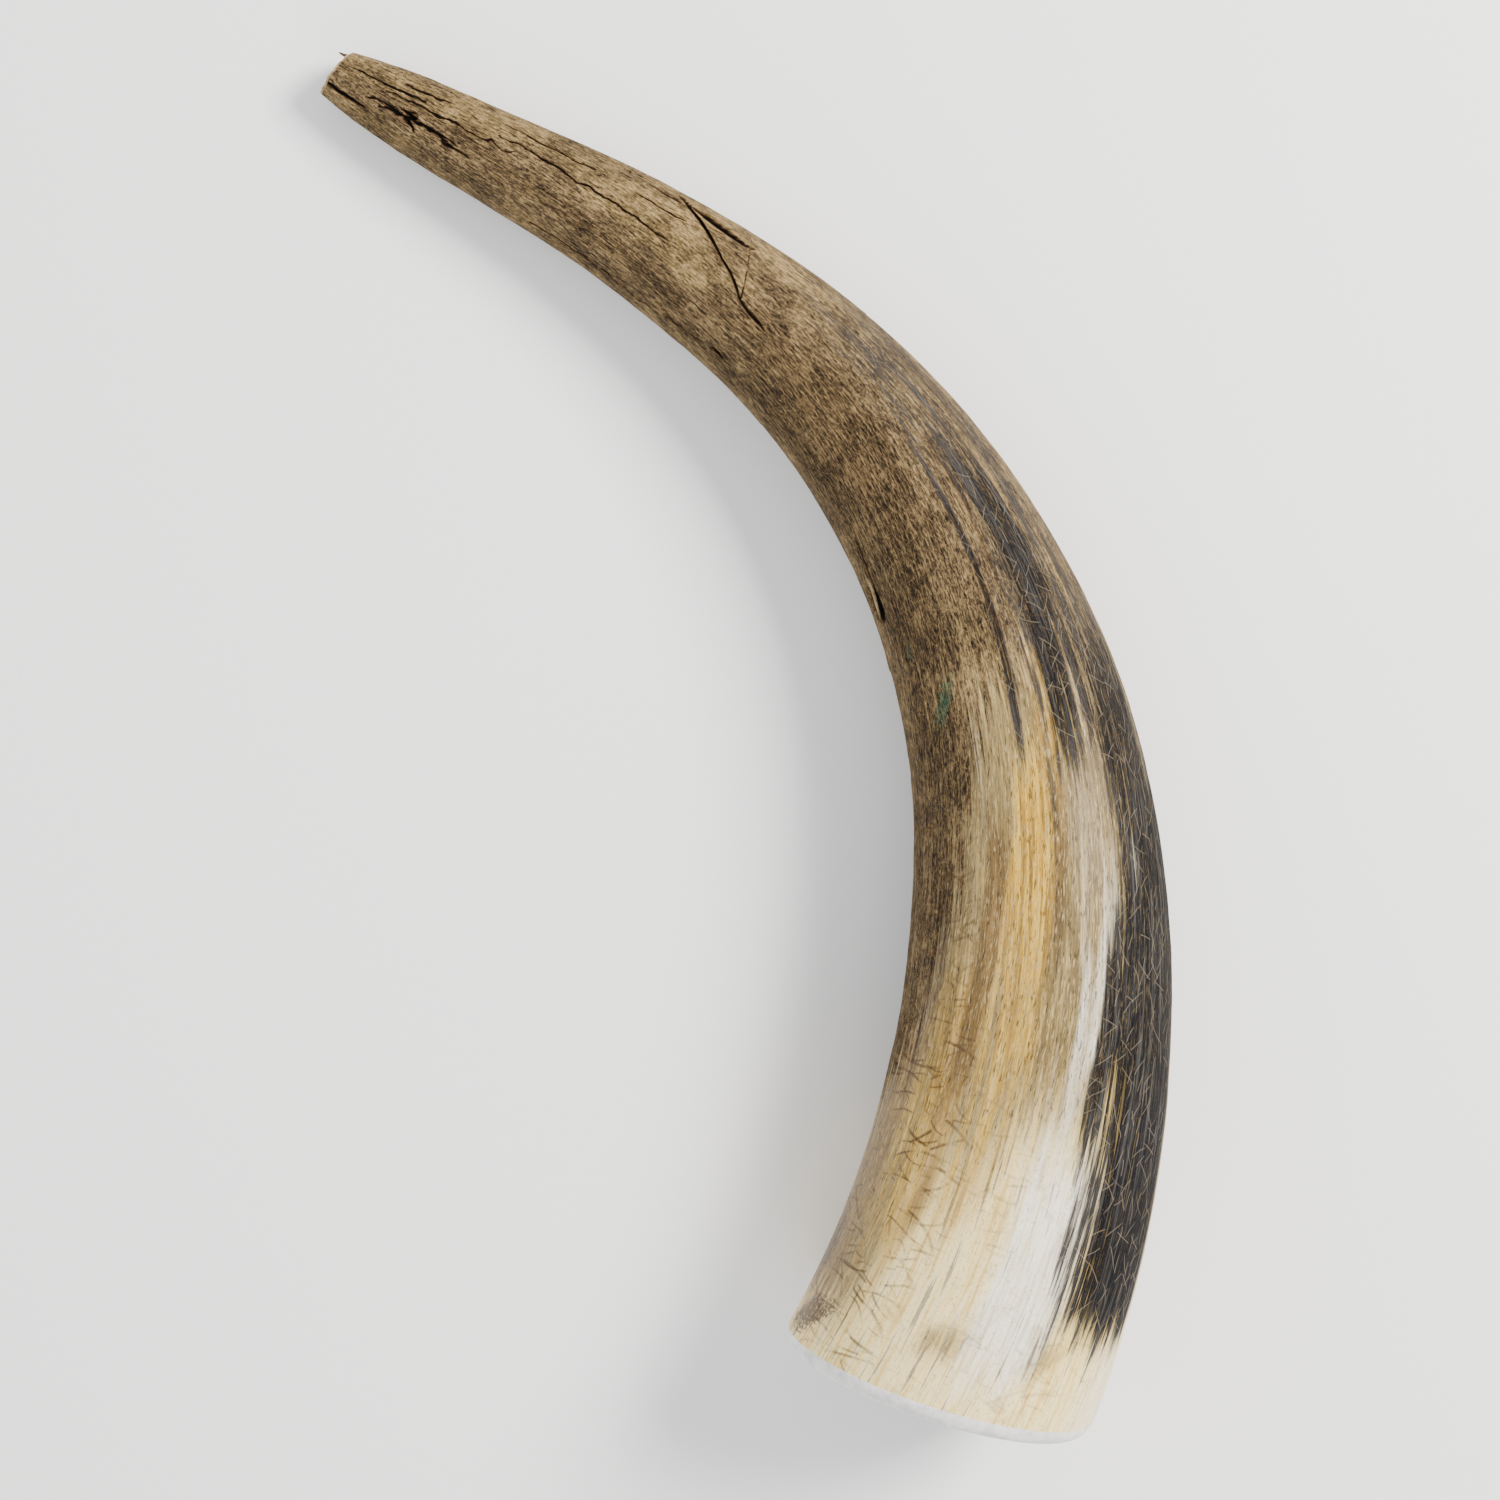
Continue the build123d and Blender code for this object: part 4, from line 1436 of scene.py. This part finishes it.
def horn_finishes() -> dict[Surface, bpy.types.Material]:
    """The four finishes of a natural horn."""
    ground = PlainHornFinish("ground_horn_rim", "#C4C2C2", "#F2F0EC", 3.0, 3.0, 0.62, 0.05)
    browned = (150, 372)
    lining = PlainHornFinish("hollow_horn_lining", "#8C7450", "#CDB891", 2.4, 26.0, 0.5, 0.1, deep=browned)
    torn = PlainHornFinish("torn_horn_fibre", "#6E5636", "#BCA272", 0.9, 8.0, 0.7, 0.12)
    return {
        Surface.SKIN: HornSkinFinish().build(),
        Surface.GROUND: ground.build(),
        Surface.LINING: lining.build(),
        Surface.TORN: torn.build(),
    }


# ---------------------------------------------------------------- studio


@dataclass
class Studio:
    """A pale floor, soft light from the right and above, and a camera looking down on the horn.

    The camera looks at aim from back, a direction given as sideways, along and up shares.
    """

    floor_size: float = 6.0
    aim: tuple[float, float, float] = (0.0, 0.0, 0.0214)
    back: tuple[float, float, float] = (-0.0464, 0.117, 0.992)
    distance: float = 0.6
    frame_width: float = 0.3399
    sensor: float = 36.0
    ambient: float = 0.92

    def build_floor(self) -> None:
        """A flat pale floor with a faint mottle, which the horn lies on."""
        size = self.floor_size / 2
        corners = [(-size, -size, 0), (size, -size, 0), (size, size, 0), (-size, size, 0)]
        mesh = bpy.data.meshes.new("floor")
        mesh.from_pydata(corners, [], [(0, 1, 2, 3)])
        floor = bpy.data.objects.new("floor", mesh)
        bpy.context.scene.collection.objects.link(floor)
        material, tree = new_material("pale_floor")
        noise = add(tree, "TexNoise", {"Scale": 3.0})
        colour = mix(tree, noise, linear_colour("#FBFBFB"), linear_colour("#FFFFFF"))
        surface = add(tree, "BsdfPrincipled", {"Base Color": colour, "Roughness": 0.9})
        add(tree, "OutputMaterial", {"Surface": surface})
        mesh.materials.append(material)

    def build_light(self, name: str, place: tuple, size: float, power: float, tint: str) -> None:
        """A square soft light that faces the horn's middle."""
        light = bpy.data.lights.new(name, "AREA")
        light.shape = "SQUARE"
        light.size = size
        light.energy = power
        light.color = linear_colour(tint)[:3]
        lamp = bpy.data.objects.new(name, light)
        lamp.location = place
        lamp.rotation_euler = (-Vector(place)).to_track_quat("-Z", "Y").to_euler()
        bpy.context.scene.collection.objects.link(lamp)

    def build_camera(self) -> None:
        """A camera whose frame is as wide as frame_width at the aim."""
        back = Vector(self.back).normalized()
        right = Vector((0, 1, 0)).cross(back).normalized()
        turn = Matrix((right, back.cross(right), back)).transposed()
        data = bpy.data.cameras.new("camera")
        data.sensor_width = self.sensor
        data.lens = self.sensor * self.distance / self.frame_width
        camera = bpy.data.objects.new("camera", data)
        camera.location = Vector(self.aim) + back * self.distance
        camera.rotation_euler = turn.to_euler()
        bpy.context.scene.collection.objects.link(camera)
        bpy.context.scene.camera = camera

    def build(self) -> None:
        """Floor, lights, surrounding light and camera."""
        self.build_floor()
        self.build_light("key_light", (0.8, 0.45, 0.85), 0.45, 34.0, "#FFFCF6")
        self.build_light("fill_light", (-0.9, 0.3, 0.9), 0.9, 5.0, "#F3F7FF")
        self.build_light("low_light", (0.1, -1.1, 0.6), 0.7, 5.0, "#FFFFFF")
        world = bpy.data.worlds.new("studio")
        world.use_nodes = True
        background = world.node_tree.nodes["Background"]
        background.inputs["Color"].default_value = linear_colour("#FFFFFF")
        background.inputs["Strength"].default_value = self.ambient
        bpy.context.scene.world = world
        self.build_camera()


def main() -> None:
    """Builds the horn piece by piece, then the studio."""
    logging.basicConfig(level=logging.INFO, format="%(name)s: %(message)s")
    form = HornForm()
    skin = Skin(form)
    finishes = horn_finishes()
    splinter = Sliver(
        skin, "mouth_splinter", start=(5.0, 52.0), end=(-1.1, 53.0), width=1.6, sink=0.45, curl=0.0,
        surface=Surface.SKIN, tip_darkening=0.5,
    )
    sliver = Sliver(skin, "notch_sliver", start=(173.5, -69.0), end=(184.0, -73.0), width=1.2, sink=0.5)
    parts = (
        (MouthCone(skin, "tip_cone", number=0, columns=230, skin_rows=300), "weathered_horn"),
        (GrowthCone(skin, "bark_cone", number=1, columns=320, skin_rows=150), "weathered_horn"),
        (GrowthCone(skin, "waist_cone", number=2, columns=360, skin_rows=120), "streaked_horn"),
        (BellCone(skin, "bell_cone", number=3, columns=360, skin_rows=140), "polished_horn"),
        (SplitFlake(skin), "weathered_horn"),
        (splinter, "weathered_horn"),
        (sliver, "weathered_horn"),
    )
    for part, slot in parts:
        piece = part.build()
        part.dress(piece, finishes, slot)
    Studio().build()


if __name__ == "__main__":
    main()
